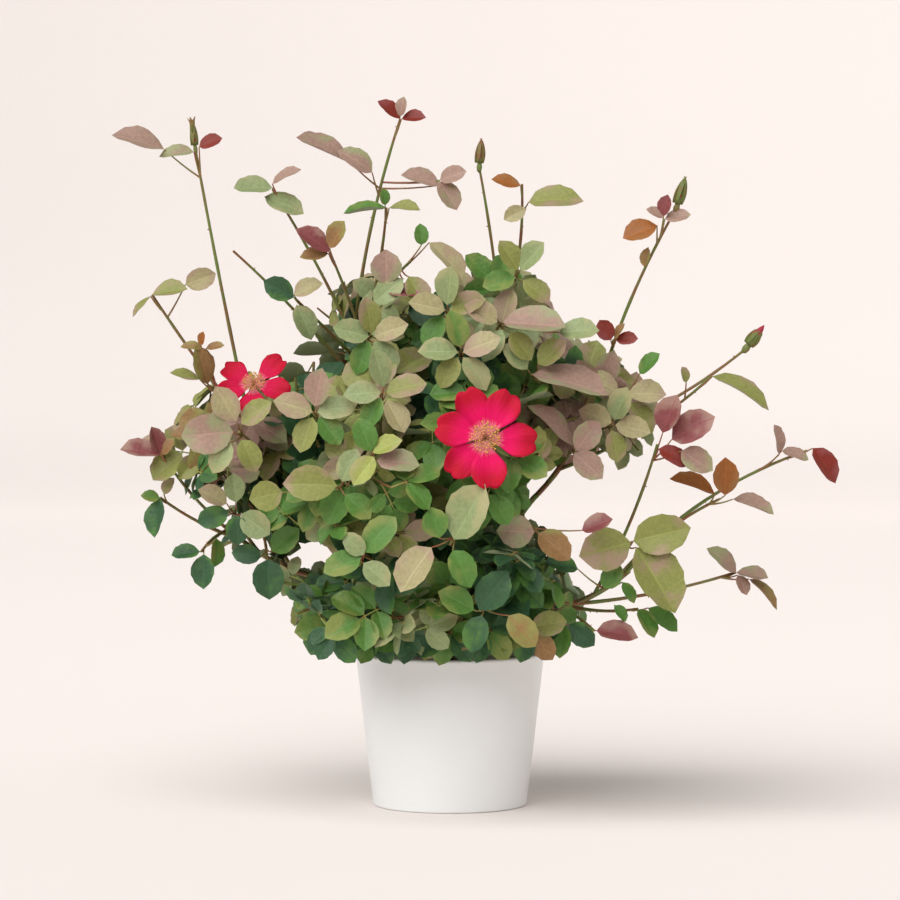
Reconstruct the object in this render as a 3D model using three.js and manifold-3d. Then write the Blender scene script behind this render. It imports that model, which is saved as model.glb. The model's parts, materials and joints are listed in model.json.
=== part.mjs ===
// A rose bush in a plain white pot: pot, soil, short stem, arching canes, leafy masses and two single blooms.
// Millimetres, +Z up, origin at the centre of the pot's flat underside. -Y is the bush's front.
import * as THREE from "three";
import { mergeVertices } from "three/addons/utils/BufferGeometryUtils.js";
import Module from "manifold-3d";

const wasm = await Module();
wasm.setup();

// ---------------------------------------------------------------- driving dimensions

const POT = { height: 121, rimRadius: 75, footRadius: 61, wall: 4, floor: 6, lip: 1.5, sides: 32 };
const SOIL = { belowRim: 13, slump: 3, flatShare: 0.55, fit: 0.3, inset: 1.6, sides: 20 };
const STEM = { height: 46, footRadius: 15, neckRadius: 10, topRadius: 11, lean: 4, sides: 9 };
const STEM_FLARE = { radius: 11.5, height: 0.14, neck: 0.4, union: 0.75, crown: 0.7 }; // heights are shares
const CANE ={ rootRadius: 3.8, tipRadius: 2.2, sides: 5, steps: 5, upright: 0.55, reach: 0.62, flare: 16 };
const CANE_BEND = { inset: 0.4, highest: 0.9, steepest: 1.15, rootRise: 0.35, tipRun: 0.22, tipRise: 0.25 };
const MASS_STEM = { pastMiddle: 0.25, straight: 0.45, sides: 4, steps: 3 };
const GAP = 0.3; // between one solid and the next that it grows from
const ROOT_CUT = 0.45; // how far outside the stem the canes' roots are cut

// The crown's spaces: each mass of foliage keeps inside its own ellipsoid, given by centre and half sizes.
// lift is how high on the stem the mass's cane leaves it, as a share of the stem's height.
const MASSES = [
  { name: "top_left", at: [-68, 0, 366], half: [96, 92, 90], lift: 1, tint: "olive", shoots: 7 },
  { name: "top_right", at: [42, 4, 372], half: [96, 92, 92], lift: 1, tint: "olive", shoots: 7 },
  { name: "high_left", at: [-148, -34, 294], half: [102, 96, 78], lift: 0.7, tint: "bronze", shoots: 6 },
  { name: "low_left", at: [-162, -10, 214], half: [90, 96, 72], lift: 0.42, tint: "green", shoots: 5 },
  { name: "front_left", at: [-60, -98, 276], half: [92, 92, 90], lift: 0.7, tint: "olive", shoots: 7 },
  { name: "front_right", at: [34, -98, 270], half: [86, 92, 90], lift: 0.7, tint: "green", shoots: 7 },
  { name: "high_right", at: [110, -14, 318], half: [94, 94, 76], lift: 0.52, tint: "olive", shoots: 6 },
  { name: "low_right", at: [128, -34, 182], half: [84, 84, 58], lift: 0.3, tint: "olive", shoots: 2 },
  { name: "skirt_left", at: [-76, -78, 168], half: [92, 92, 64], lift: 0.3, tint: "green", shoots: 6 },
  { name: "skirt_right", at: [36, -82, 166], half: [88, 90, 66], lift: 0.3, tint: "green", shoots: 6 },
  { name: "back_left", at: [-92, 88, 290], half: [98, 94, 104], lift: 0.7, tint: "olive", shoots: 6 },
  { name: "back_right", at: [26, 92, 292], half: [92, 92, 104], lift: 0.7, tint: "olive", shoots: 6 },
  { name: "skirt_back_left", at: [-70, 78, 168], half: [90, 90, 64], lift: 0.3, tint: "green", shoots: 5 },
  { name: "skirt_back_right", at: [44, 80, 166], half: [88, 90, 66], lift: 0.3, tint: "green", shoots: 5 },
];

// An opening on the crown's right that stays free of leaves from front to back.
const OPENING = { left: 78, right: 118, foot: 222, top: 262 };

// The long shoots that stand out of the crown, each from its mass's stem to a tip. points holds the way that
// each leaf points, tip first, in degrees anticlockwise from +X, seen from the shoot's own side of the bush.
// tilt turns the leaves' faces from outward (0) to up (90), bow is the shoot's bend, and from is its place on
// the mass's stem.
const LEADERS = [
  { mass: "high_left", tip: [-204, -48, 521], points: [4, 176],
    size: 0.94, tilt: 62, bow: 2, from: 0.9, bud: true },
  { mass: "high_left", tip: [-186, -60, 416], points: [24, 200],
    size: 0.96, tilt: 60, bow: 4, from: 0.6 },
  { mass: "high_left", tip: [-190, -92, 356], points: [104, 170, 20],
    size: 0.72, tilt: 25, bow: -6, from: 0.3 },
  { mass: "top_left", tip: [-122, -30, 486], points: [46, 192, 322],
    size: 0.76, tilt: 52, bow: -8, from: 0.5 },
  { mass: "top_left", tip: [-40, -24, 524], points: [84, 156, 352],
    size: 1, tilt: 42, bow: 8, from: 0.98 },
  { mass: "top_left", tip: [-53, -70, 462], points: [90, 178, 2],
    size: 0.74, tilt: 76, bow: -6, from: 0.8 },
  { mass: "top_left", tip: [-98, -66, 430], points: [100, 165, 15],
    size: 0.74, tilt: 25, bow: -6, from: 0.3 },
  { mass: "top_right", tip: [24, -24, 506], points: [],
    size: 0.6, tilt: 30, bow: -4, from: 0.7, bud: true },
  { mass: "top_right", tip: [50, -48, 472], points: [150, 14, 222],
    size: 0.9, tilt: 34, bow: -8, from: 0.95 },
  { mass: "high_right", tip: [178, -50, 478], points: [150, 240],
    size: 0.84, tilt: 25, bow: 10, from: 0.9, bud: true },
  { mass: "high_right", tip: [236, -30, 366], points: [],
    size: 0.6, tilt: 30, bow: -14, from: 0.5, bud: true },
  { mass: "high_right", tip: [192, -64, 340], points: [352, 120],
    size: 1, tilt: 52, bow: -14, from: 0.25 },
  { mass: "low_right", tip: [172, -96, 284], points: [60, 350, 200],
    size: 0.95, tilt: 20, bow: -8, from: 0.5 },
  { mass: "low_right", tip: [212, -70, 252], points: [90, 180, 340],
    size: 0.95, tilt: 35, bow: 12, from: 0.95 },
  { mass: "low_right", tip: [280, -56, 280], points: [350, 130],
    size: 0.82, tilt: 20, bow: 14, from: 0.75 },
  { mass: "low_right", tip: [206, -40, 186], points: [355, 210],
    size: 0.9, tilt: 40, bow: -8, from: 0.2 },
  { mass: "low_right", tip: [130, -110, 206], points: [15, 120],
    size: 1.25, tilt: 20, bow: 4, from: 0.6 },
  { mass: "low_left", tip: [-220, -56, 284], points: [150, 200, 40],
    size: 0.76, tilt: 35, bow: 12, from: 0.6 },
  { mass: "low_left", tip: [-204, -64, 196], points: [190, 250, 320],
    size: 0.8, tilt: 25, bow: 8, from: 0.95 },
  { mass: "back_left", tip: [-148, 112, 404], points: [60, 150, 10],
    size: 1, tilt: 40, bow: 8, from: 0.9 },
  { mass: "back_left", tip: [-76, 84, 462], points: [90, 170, 10],
    size: 1, tilt: 40, bow: 4, from: 0.6 },
  { mass: "back_right", tip: [48, 92, 456], points: [80, 180, 350],
    size: 1, tilt: 40, bow: -6, from: 0.9 },
  { mass: "back_right", tip: [118, 110, 392], points: [30, 340, 200],
    size: 1, tilt: 35, bow: -10, from: 0.6 },
];
const LEADER = {
  leafStep: 26,
  underBud: 17,
  steps: 3,
  forward: 0.3,
  tipSize: 0.62,
  bows: [0, 12, -12, 24, -24, 40, -40], // added to a shoot's own bend, in turn, until it runs free
  shrinks: [1, 0.8, 0.6], // of a leaf's size, in turn, until it has room
};

// Twigs and leaves. A leaf has three leaflets that spread from the end of its stalk.
const TWIG = { rootRadius: 1.9, tipRadius: 1.4, sides: 3, steps: 2, rise: 0.12, bend: 0.45 };
const SHOOT = { reach: 0.58, lowest: 0.3, highest: 0.98, tries: 6, tryTurn: 0.37 };
const SHOOT_LEAVES = { count: 4, first: 0.28 };
const LEAF = { length: 45, width: 33, thickness: 1.5, stalk: 0.42, spread: 78, widest: 0.5 };
const LEAF_BEND = { fold: 0.16, droop: 0.1 };
const NOTCH = { between: 0.14, behind: 0.06, behindTurn: 18 }; // between leaflets, as shares of their length
const LEAF_TRIES = { count: 20, largest: 1.1, least: 0.9, smallest: 0.6, angle: 58, angleRange: 50 };
const LIGHT = { outward: 0.9, side: 0.45, middle: -15, depth: 1.5, scatter: 0.7 }; // what leaves turn to
const SINK = 0.4; // how far a root goes past the middle of what carries it
const ROOM = { grid: 3.2, clear: 5.6, cell: 8, overRim: 2.5, rootSpots: 2, rodMargin: 1 };

const BLOOM = { radius: 40, petalWidth: 33, thickness: 1.6, cup: 5, boss: 6.5, middle: 0.55 };
const BLOOM_STALK = { radius: 1.6, sides: 4, steps: 4, leaving: 0.3, arriving: 0.4 };
const BLOOM_ROOM = [-2, 2, 6, 12, 18, 24, 30]; // how far before a bloom's face the layers that stay free lie
// petals holds the way that each petal points, in degrees anticlockwise from +X, seen from the bloom's face.
const BLOOMS = [
  {
    name: "bloom_front",
    mass: "front_right",
    at: [27, -160, 296],
    face: [0.04, -0.97, 0.2],
    size: 1,
    petals: [61, 114, 167, 225, 274, 356],
  },
  {
    name: "bloom_left",
    mass: "high_left",
    at: [-150, -104, 336],
    face: [-0.12, -0.93, 0.34],
    size: 0.72,
    petals: [40, 143, 205, 268, 335],
  },
];
// Half of a petal's outline, from its notched tip round to its root, as shares of its length and its width.
const PETAL_OUTLINE = [
  { reach: 0.95, half: 0 },
  { reach: 0.98, half: 0.3 },
  { reach: 0.66, half: 0.5 },
  { reach: 0.3, half: 0.24 },
  { reach: 0.04, half: 0 },
];
const BUD = { length: 20, radius: 4.2, sides: 5, sunk: 3, foot: 1.25, taper: 0.5 };

const COLOURS = {
  pot: { color: 0xe9e9e4, roughness: 0.45 },
  soil: { color: 0x33261c, roughness: 0.95 },
  bark: { color: 0x6a6a3c, roughness: 0.7 },
  green: { color: 0x4f7a48, roughness: 0.6 },
  olive: { color: 0x8c9a66, roughness: 0.6 },
  bronze: { color: 0x9c7f66, roughness: 0.6 },
  petal: { color: 0xe21450, roughness: 0.55 },
};

// ---------------------------------------------------------------- small helpers

const UP = new THREE.Vector3(0, 0, 1);
const GOLDEN_ANGLE = 137.508;
const radians = THREE.MathUtils.degToRad;
const vector = ([x, y, z]) => new THREE.Vector3(x, y, z);
const along = (point, direction, length) => point.clone().addScaledVector(direction, length);
const crossed = (a, b) => new THREE.Vector3().crossVectors(a, b).normalize();

// A repeatable stream of numbers from 0 to 1, and a seed for it from a name.
function seeded(name) {
  let state = [...name].reduce((sum, letter) => (Math.imul(sum, 31) + letter.charCodeAt(0)) >>> 0, 7);
  return () => {
    state = (state + 0x6d2b79f5) >>> 0;
    let mixed = Math.imul(state ^ (state >>> 15), 1 | state);
    mixed = (mixed + Math.imul(mixed ^ (mixed >>> 7), 61 | mixed)) ^ mixed;
    return ((mixed ^ (mixed >>> 14)) >>> 0) / 4294967296;
  };
}

// The part of a vector that is square to an axis, at unit length.
function squareTo(axis, direction) {
  const rest = direction.clone().addScaledVector(axis, -direction.dot(axis));
  return rest.lengthSq() > 1e-6 ? rest.normalize() : crossed(axis, new THREE.Vector3(0.3, 0.9, 0.1));
}

// A unit vector square to an axis, turned about it by an angle counted from the plant's +X side.
function turnedAbout(axis, degrees) {
  return squareTo(axis, new THREE.Vector3(1, 0.001, 0)).applyAxisAngle(axis, radians(degrees));
}

// ---------------------------------------------------------------- shapes and solids

// Only a geometry's positions, with shared vertices merged and the slivers at its poles dropped.
function closed(geometry) {
  const bare = geometry.clone();
  bare.deleteAttribute("normal");
  bare.deleteAttribute("uv");
  const merged = mergeVertices(bare, 1e-4);
  const faces = [];
  const index = merged.index.array;
  for (let i = 0; i < index.length; i += 3) {
    const [a, b, c] = index.slice(i, i + 3);
    if (a !== b && b !== c && c !== a) faces.push(a, b, c);
  }
  merged.setIndex(faces);
  return merged;
}

// A closed copy of a geometry with each of its vertices moved by a rule.
function reshaped(geometry, rule) {
  const shape = closed(geometry);
  const position = shape.attributes.position;
  const point = new THREE.Vector3();
  for (let i = 0; i < position.count; i++) {
    rule(point.fromBufferAttribute(position, i));
    position.setXYZ(i, point.x, point.y, point.z);
  }
  return shape;
}

function solidOf(shape) {
  const vertProperties = new Float32Array(shape.attributes.position.array);
  const triVerts = new Uint32Array(shape.index.array);
  return new wasm.Manifold(new wasm.Mesh({ numProp: 3, vertProperties, triVerts }));
}

function geometryOf(solid) {
  const mesh = solid.getMesh();
  const geometry = new THREE.BufferGeometry();
  geometry.setAttribute("position", new THREE.BufferAttribute(new Float32Array(mesh.vertProperties), 3));
  geometry.setIndex(new THREE.BufferAttribute(new Uint32Array(mesh.triVerts), 1));
  geometry.computeVertexNormals();
  return geometry;
}

// Joins solids two by two, so that each join stays small.
function fused(solids) {
  if (solids.length === 1) return solids[0];
  const middle = solids.length >> 1;
  return fused(solids.slice(0, middle)).add(fused(solids.slice(middle)));
}

// A closed tapering rod along a curve: a cylinder whose rings are set square to the curve.
function rodShape(curve, rootRadius, tipRadius, sides, steps) {
  const frames = curve.computeFrenetFrames(steps, false);
  const centres = frames.tangents.map((_, i) => curve.getPointAt(i / steps));
  const cylinder = new THREE.CylinderGeometry(tipRadius, rootRadius, 1, sides, steps);
  return reshaped(cylinder, (point) => {
    const ring = Math.round((point.y + 0.5) * steps);
    const { x, z } = point;
    point.copy(centres[ring]);
    point.addScaledVector(frames.normals[ring], z).addScaledVector(frames.binormals[ring], x);
  });
}

// Where a point of a leaf lies: share is how far along one of its leaflets, sideways how far from its midrib.
function leafPoint(leaf, leaflet, share, sideways) {
  const height = Math.abs(sideways) * LEAF_BEND.fold - leaf.length * LEAF_BEND.droop * share * share;
  const onMidrib = along(leaf.centre, leaflet.way, share * leaf.length);
  return onMidrib.addScaledVector(leaflet.across, sideways).addScaledVector(leaf.face, height);
}

// A leaf's outline, anticlockwise from the tip of its end leaflet: each leaflet's two sides and its tip, the
// notches between them, and the root of the stalk.
function leafOutline(leaf) {
  const [end, left, right] = leaf.leaflets;
  const half = leaf.width / 2;
  const sideOf = (leaflet, sign) => leafPoint(leaf, leaflet, LEAF.widest, sign * half);
  const tipOf = (leaflet) => leafPoint(leaf, leaflet, 1, 0);
  const notch = (degrees, depth) => {
    const way = end.way.clone().applyAxisAngle(leaf.face, radians(degrees));
    return along(leaf.centre, way, depth * leaf.length);
  };
  const front = LEAF.spread / 2;
  const back = (180 + LEAF.spread) / 2 + NOTCH.behindTurn;
  const around = (leaflet) => [sideOf(leaflet, -1), tipOf(leaflet), sideOf(leaflet, 1)];
  const before = [tipOf(end), sideOf(end, 1), notch(front, NOTCH.between), ...around(left)];
  const behind = [notch(back, NOTCH.behind), leaf.root, notch(-back, NOTCH.behind)];
  return [...before, ...behind, ...around(right), notch(-front, NOTCH.between), sideOf(end, -1)];
}

// A leaf: a flat double pyramid over its outline.
function leafShape(leaf) {
  const outline = leafOutline(leaf);
  const corners = outline.length;
  return reshaped(new THREE.SphereGeometry(1, corners, 2), (point) => {
    const turn = Math.atan2(point.z, -point.x) / (2 * Math.PI);
    const corner = Math.round((turn + 1) * corners) % corners;
    if (Math.abs(point.y) < 0.5) point.copy(outline[corner]);
    else point.copy(along(leaf.centre, leaf.face, (point.y * LEAF.thickness) / 2));
  });
}

// ---------------------------------------------------------------- room between limbs and leaves

// Remembers where limbs and leaves are, as points in cells, so that a new leaf can be tested against them.
const room = {
  cells: new Map(),
  cellOf: (value) => Math.floor(value / ROOM.cell),
  add(point, radius, owner) {
    const key = `${this.cellOf(point.x)},${this.cellOf(point.y)},${this.cellOf(point.z)}`;
    if (!this.cells.has(key)) this.cells.set(key, []);
    this.cells.get(key).push({ point: point.clone(), radius, owner });
  },
  isFree(point, radius, kin) {
    const [x, y, z] = [point.x, point.y, point.z].map(this.cellOf);
    for (let i = x - 1; i <= x + 1; i++)
      for (let j = y - 1; j <= y + 1; j++)
        for (let k = z - 1; k <= z + 1; k++)
          for (const taken of this.cells.get(`${i},${j},${k}`) ?? []) {
            if (kin.has(taken.owner)) continue;
            if (taken.point.distanceTo(point) < taken.radius + radius) return false;
          }
    return true;
  },
};

// Points over a leaf, close enough together that no other leaf slips between them.
function leafSpots(leaf) {
  const rows = Math.ceil(leaf.length / ROOM.grid);
  const spots = [];
  for (const leaflet of leaf.leaflets)
    for (let row = 1; row <= rows; row++) {
      const share = row / rows;
      const tapered = share < LEAF.widest ? share / LEAF.widest : (1 - share) / (1 - LEAF.widest);
      const half = (leaf.width / 2) * tapered;
      const columns = Math.ceil(half / ROOM.grid);
      for (let column = -columns; column <= columns; column++)
        spots.push(leafPoint(leaf, leaflet, share, (half * column) / Math.max(columns, 1)));
    }
  return spots;
}

const rodSpots = (curve) => curve.getSpacedPoints(Math.ceil(curve.getLength() / ROOM.grid));

// How deep a point is in a mass's own space: 0 at its centre and 1 on its ellipsoid.
function depthIn(mass, point) {
  const [x, y, z] = [point.x, point.y, point.z].map((value, i) => (value - mass.at[i]) / mass.half[i]);
  return Math.hypot(x, y, z);
}

// Leaves stay above the pot's rim and out of the crown's opening.
function isOpenAir({ x, z }) {
  const inOpening = x > OPENING.left && x < OPENING.right && z > OPENING.foot && z < OPENING.top;
  return z > POT.height + ROOM.overRim && !inOpening;
}

// ---------------------------------------------------------------- pot, soil and stem

const bush = new THREE.Group();
function addNode(name, geometry, finish) {
  const mesh = new THREE.Mesh(geometry, new THREE.MeshStandardMaterial({ ...COLOURS[finish], metalness: 0 }));
  mesh.name = name;
  bush.add(mesh);
}

const wallLean = (POT.rimRadius - POT.footRadius) / POT.height; // outward per millimetre of height
const potRadiusAt = (height) => POT.footRadius + wallLean * height;
const soilLevel = POT.height - SOIL.belowRim;

// A profile in radius and height turned about +Z.
function turned(profile, sides) {
  const points = profile.map(([radius, height]) => new THREE.Vector2(radius, height));
  return closed(new THREE.LatheGeometry(points, sides).rotateX(Math.PI / 2));
}

function potShape() {
  const { height, rimRadius, footRadius, wall, floor, lip, sides } = POT;
  const profile = [
    [0, 0],
    [footRadius - lip, 0],
    [footRadius, lip],
    [rimRadius, height - lip],
    [rimRadius - lip, height],
    [rimRadius - wall, height],
    [potRadiusAt(floor) - wall, floor],
    [0, floor],
  ];
  return turned(profile, sides);
}

function soilShape() {
  const foot = POT.floor + SOIL.fit;
  const inside = (height) => potRadiusAt(height) - POT.wall - SOIL.inset;
  const edge = soilLevel - SOIL.slump;
  const profile = [
    [0, foot],
    [inside(foot), foot],
    [inside(edge), edge],
    [inside(edge) * SOIL.flatShare, soilLevel],
    [0, soilLevel],
  ];
  return turned(profile, SOIL.sides);
}

// The stem stands on the soil with a flared foot and swells again at the union that the canes leave.
const stemFoot = soilLevel + GAP;
function stemShape() {
  const { height, footRadius, neckRadius, topRadius, lean, sides } = STEM;
  const profile = [
    [0, 0],
    [footRadius, 0],
    [STEM_FLARE.radius, height * STEM_FLARE.height],
    [neckRadius, height * STEM_FLARE.neck],
    [topRadius, height * STEM_FLARE.union],
    [topRadius * STEM_FLARE.crown, height],
    [0, height],
  ];
  return reshaped(turned(profile, sides), (point) => {
    point.x += (lean * point.z) / height;
    point.z += stemFoot;
  });
}

addNode("pot", potShape(), "pot");
addNode("soil", soilShape(), "soil");
const stem = stemShape();
addNode("stem", stem, "bark");

// ---------------------------------------------------------------- canes

// Each cane leaves the stem towards its mass, rises and arches over to the mass's foot.
function canePath(mass) {
  const centre = vector(mass.at);
  const heading = new THREE.Vector3(centre.x - STEM.lean, centre.y, 0).normalize();
  const height = stemFoot + STEM.height * mass.lift * CANE_BEND.highest;
  const base = new THREE.Vector3(STEM.lean * mass.lift, 0, height);
  const inward = centre.clone().sub(base);
  const foot = along(base, inward, CANE.reach);
  const rise = new THREE.Vector3(0, 0, inward.length() * CANE.reach * CANE.upright);
  const outside = along(base, heading, STEM.topRadius * CANE_BEND.inset);
  const flare = CANE.flare * (CANE_BEND.steepest - mass.lift);
  const leaving = along(outside, heading, flare).addScaledVector(rise, CANE_BEND.rootRise);
  const arriving = along(foot, inward, -CANE_BEND.tipRun).addScaledVector(rise, CANE_BEND.tipRise);
  return new THREE.CubicBezierCurve3(outside, leaving, arriving, foot);
}

// The stem swollen by the gap, which is cut out of each cane's root.
const stemMiddle = new THREE.Vector3(STEM.lean / 2, 0, stemFoot + STEM.height / 2);
const stemClearance = reshaped(stem, (point) => {
  const away = point.clone().sub(stemMiddle).normalize();
  point.addScaledVector(away, ROOT_CUT);
});

for (const mass of MASSES) {
  mass.cane = canePath(mass);
  const rod = rodShape(mass.cane, CANE.rootRadius, CANE.tipRadius, CANE.sides, CANE.steps);
  addNode(`cane_${mass.name}`, geometryOf(solidOf(rod).subtract(solidOf(stemClearance))), "bark");
  for (const spot of rodSpots(mass.cane)) room.add(spot, CANE.rootRadius, `cane_${mass.name}`);
}

// A mass's stem runs on from its cane's tip towards the outside of its space.
function massStemPath(mass) {
  const foot = mass.cane.getPointAt(1);
  const heading = mass.cane.getTangentAt(1);
  const start = along(foot, heading, GAP);
  const outward = vector(mass.at).sub(foot).normalize();
  const end = along(vector(mass.at), outward, Math.min(...mass.half) * MASS_STEM.pastMiddle);
  const middle = along(start, heading, start.distanceTo(end) * MASS_STEM.straight);
  return new THREE.QuadraticBezierCurve3(start, middle, end);
}
for (const mass of MASSES) {
  mass.stem = massStemPath(mass);
  mass.random = seeded(mass.name);
  const { sides, steps } = MASS_STEM;
  mass.solids = [solidOf(rodShape(mass.stem, CANE.tipRadius, TWIG.rootRadius, sides, steps))];
  mass.kin = [mass.name, `cane_${mass.name}`];
  for (const spot of rodSpots(mass.stem)) room.add(spot, CANE.tipRadius, mass.name);
}
const massNamed = (name) => MASSES.find((mass) => mass.name === name);

// ---------------------------------------------------------------- blooms

// A notched petal, cupped a little. Every other petal lies a little further forward, over its neighbours.
function petalShape(bloom, face, heading, lift) {
  const across = crossed(heading, face);
  const centre = along(vector(bloom.at), face, lift);
  const corners = PETAL_OUTLINE.length - 1;
  return reshaped(new THREE.SphereGeometry(1, 2 * corners, 2), (point) => {
    const onEdge = Math.abs(point.y) < 0.5;
    const corner = Math.round((Math.acos(THREE.MathUtils.clamp(point.x, -1, 1)) * corners) / Math.PI);
    const { reach, half } = onEdge ? PETAL_OUTLINE[corner] : { reach: BLOOM.middle, half: 0 };
    const above = onEdge ? 0 : (Math.sign(point.y) * BLOOM.thickness) / 2;
    const sideways = Math.sign(point.z) * half * BLOOM.petalWidth * bloom.size;
    point.copy(centre).addScaledVector(heading, reach * BLOOM.radius * bloom.size);
    point.addScaledVector(across, sideways).addScaledVector(face, BLOOM.cup * reach * reach + above);
  });
}

// A single bloom: petals round a boss, on a stalk that grows on from its mass's stem.
function growBloom(bloom) {
  const face = vector(bloom.face).normalize();
  const centre = vector(bloom.at);
  const { stem: carrier } = massNamed(bloom.mass);
  const start = along(carrier.getPointAt(1), carrier.getTangentAt(1), GAP);
  const span = start.distanceTo(centre);
  const { radius, sides, steps } = BLOOM_STALK;
  const leaving = along(start, carrier.getTangentAt(1), span * BLOOM_STALK.leaving);
  const arriving = along(centre, face, -span * BLOOM_STALK.arriving);
  const stalk = new THREE.CubicBezierCurve3(start, leaving, arriving, centre);
  const boss = new THREE.SphereGeometry(BLOOM.boss * bloom.size, 6, 4);
  const solids = [
    solidOf(rodShape(stalk, radius, radius, sides, steps)),
    solidOf(reshaped(boss, (point) => point.add(centre))),
  ];
  bloom.petals.forEach((angle, k) => {
    const lift = k % 2 ? -BLOOM.thickness : BLOOM.thickness;
    solids.push(solidOf(petalShape(bloom, face, turnedAbout(face, angle), lift)));
  });
  for (const spot of rodSpots(stalk)) room.add(spot, radius + ROOM.rodMargin, bloom.name);
  addNode(bloom.name, geometryOf(fused(solids)), "petal");
}

// Blooms take their room first: the space of their petals and what lies before their face.
function keepRoomFor(bloom) {
  const face = vector(bloom.face).normalize();
  const radius = BLOOM.radius * bloom.size;
  for (let ring = 0; ring <= radius; ring += ROOM.grid)
    for (let angle = 0; angle < 360; angle += (180 * ROOM.grid) / (Math.PI * Math.max(ring, ROOM.grid)))
      for (const depth of BLOOM_ROOM) {
        const edge = along(vector(bloom.at), turnedAbout(face, angle), ring);
        room.add(along(edge, face, depth), ROOM.clear / 2, bloom.name);
      }
}

for (const bloom of BLOOMS) {
  growBloom(bloom);
  keepRoomFor(bloom);
}

// ---------------------------------------------------------------- twigs, leaves and buds

// Whether a rod runs clear of what stands there, past the few spots at its own root.
function isFreeRod(spots, radius, kin) {
  return spots.slice(ROOM.rootSpots).every((spot) => room.isFree(spot, radius + ROOM.rodMargin, kin));
}

// Where a leaf on a twig at base would lie, or null where it would leave its space or touch anything.
function planLeaf(base, direction, facing, size, kin, keepsIn) {
  const way = direction.clone().normalize();
  const face = squareTo(way, facing);
  const leaf = { face, length: LEAF.length * size, width: LEAF.width * size, root: along(base, way, -SINK) };
  leaf.centre = along(base, way, LEAF.stalk * leaf.length);
  leaf.leaflets = [0, LEAF.spread, -LEAF.spread].map((degrees) => {
    const turned = way.clone().applyAxisAngle(face, radians(degrees));
    return { way: turned, across: crossed(face, turned) };
  });
  leaf.stalk = new THREE.LineCurve3(base, leaf.centre);
  leaf.spots = leafSpots(leaf);
  const stalkIsFree = isFreeRod(rodSpots(leaf.stalk), 0, kin);
  const isFree = (spot) => keepsIn(spot) && room.isFree(spot, ROOM.clear / 2, kin);
  return stalkIsFree && leaf.spots.every(isFree) ? leaf : null;
}

// A planned leaf's solid, once its room is taken.
function growLeaf(leaf, name) {
  for (const spot of rodSpots(leaf.stalk)) room.add(spot, 1, name);
  for (const spot of leaf.spots) room.add(spot, ROOM.clear / 2, name);
  return solidOf(leafShape(leaf));
}

// The first of several curves that is free of other limbs, as a shoot.
function firstFreeRod(curves, kin) {
  return curves.find((curve) => isFreeRod(rodSpots(curve), TWIG.rootRadius, kin));
}
function growTwig(curve, name, steps) {
  for (const spot of rodSpots(curve)) room.add(spot, TWIG.rootRadius, name);
  return solidOf(rodShape(curve, TWIG.rootRadius, TWIG.tipRadius, TWIG.sides, steps));
}

// A bud: a pointed spindle at a shoot's tip.
function budShape(tip, direction) {
  const { length, radius, sides } = BUD;
  const across = squareTo(direction, new THREE.Vector3(1, 0.3, 0.2));
  const over = crossed(across, direction);
  const root = along(tip, direction, -BUD.sunk);
  return reshaped(new THREE.SphereGeometry(1, sides, 4), (point) => {
    const share = (point.y + 1) / 2;
    const girth = radius * (BUD.foot - BUD.taper * share);
    const { x, z } = point;
    point.copy(root).addScaledVector(direction, share * length);
    point.addScaledVector(across, x * girth).addScaledVector(over, z * girth);
  });
}

// ---------------------------------------------------------------- the long shoots

for (const [index, leader] of LEADERS.entries()) {
  const mass = massNamed(leader.mass);
  const name = `${mass.name}_leader_${index}`;
  const base = mass.stem.getPointAt(leader.from);
  const tip = vector(leader.tip);
  const span = tip.clone().sub(base);
  const aside = new THREE.Vector3(-span.z, 0, span.x).normalize();
  const curves = LEADER.bows.map((extra) => {
    const middle = along(base, span, 0.5).addScaledVector(aside, leader.bow + extra);
    return new THREE.QuadraticBezierCurve3(base, middle, tip);
  });
  const curve = firstFreeRod(curves, new Set([...mass.kin, name]));
  if (!curve) continue;
  mass.solids.push(growTwig(curve, name, LEADER.steps));
  if (leader.bud) mass.solids.push(solidOf(budShape(tip, curve.getTangentAt(1))));
  const outward = tip.y > 0 ? 1 : -1;
  const tilt = radians(leader.tilt);
  const facing = new THREE.Vector3(0, outward * Math.cos(tilt), Math.sin(tilt));
  leader.points.forEach((angle, k) => {
    const back = leader.bud ? LEADER.underBud + k : k * LEADER.leafStep * leader.size;
    const place = curve.getPointAt(1 - back / curve.getLength());
    const turn = radians(angle);
    const points = new THREE.Vector3(-outward * Math.cos(turn), outward * LEADER.forward, Math.sin(turn));
    const leafName = `${name}_${k}`;
    for (const shrink of LEADER.shrinks) {
      const size = leader.size * shrink * (k === 0 ? LEADER.tipSize : 1);
      const leaf = planLeaf(place, points, facing, size, new Set([name, leafName]), isOpenAir);
      if (!leaf) continue;
      mass.solids.push(growLeaf(leaf, leafName));
      break;
    }
  });
}

// ---------------------------------------------------------------- filling the crown

// The way a leaf's face turns: up, and out from the plant's middle to its front or its back.
function lightAt(point, random) {
  const outward = new THREE.Vector3(point.x - LIGHT.middle, point.y * LIGHT.depth, 0).normalize();
  const light = along(UP, outward, LIGHT.outward);
  light.y += Math.sign(point.y) * LIGHT.side;
  for (const axis of ["x", "y", "z"]) light[axis] += (random() - 0.5) * LIGHT.scatter;
  return light;
}

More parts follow.
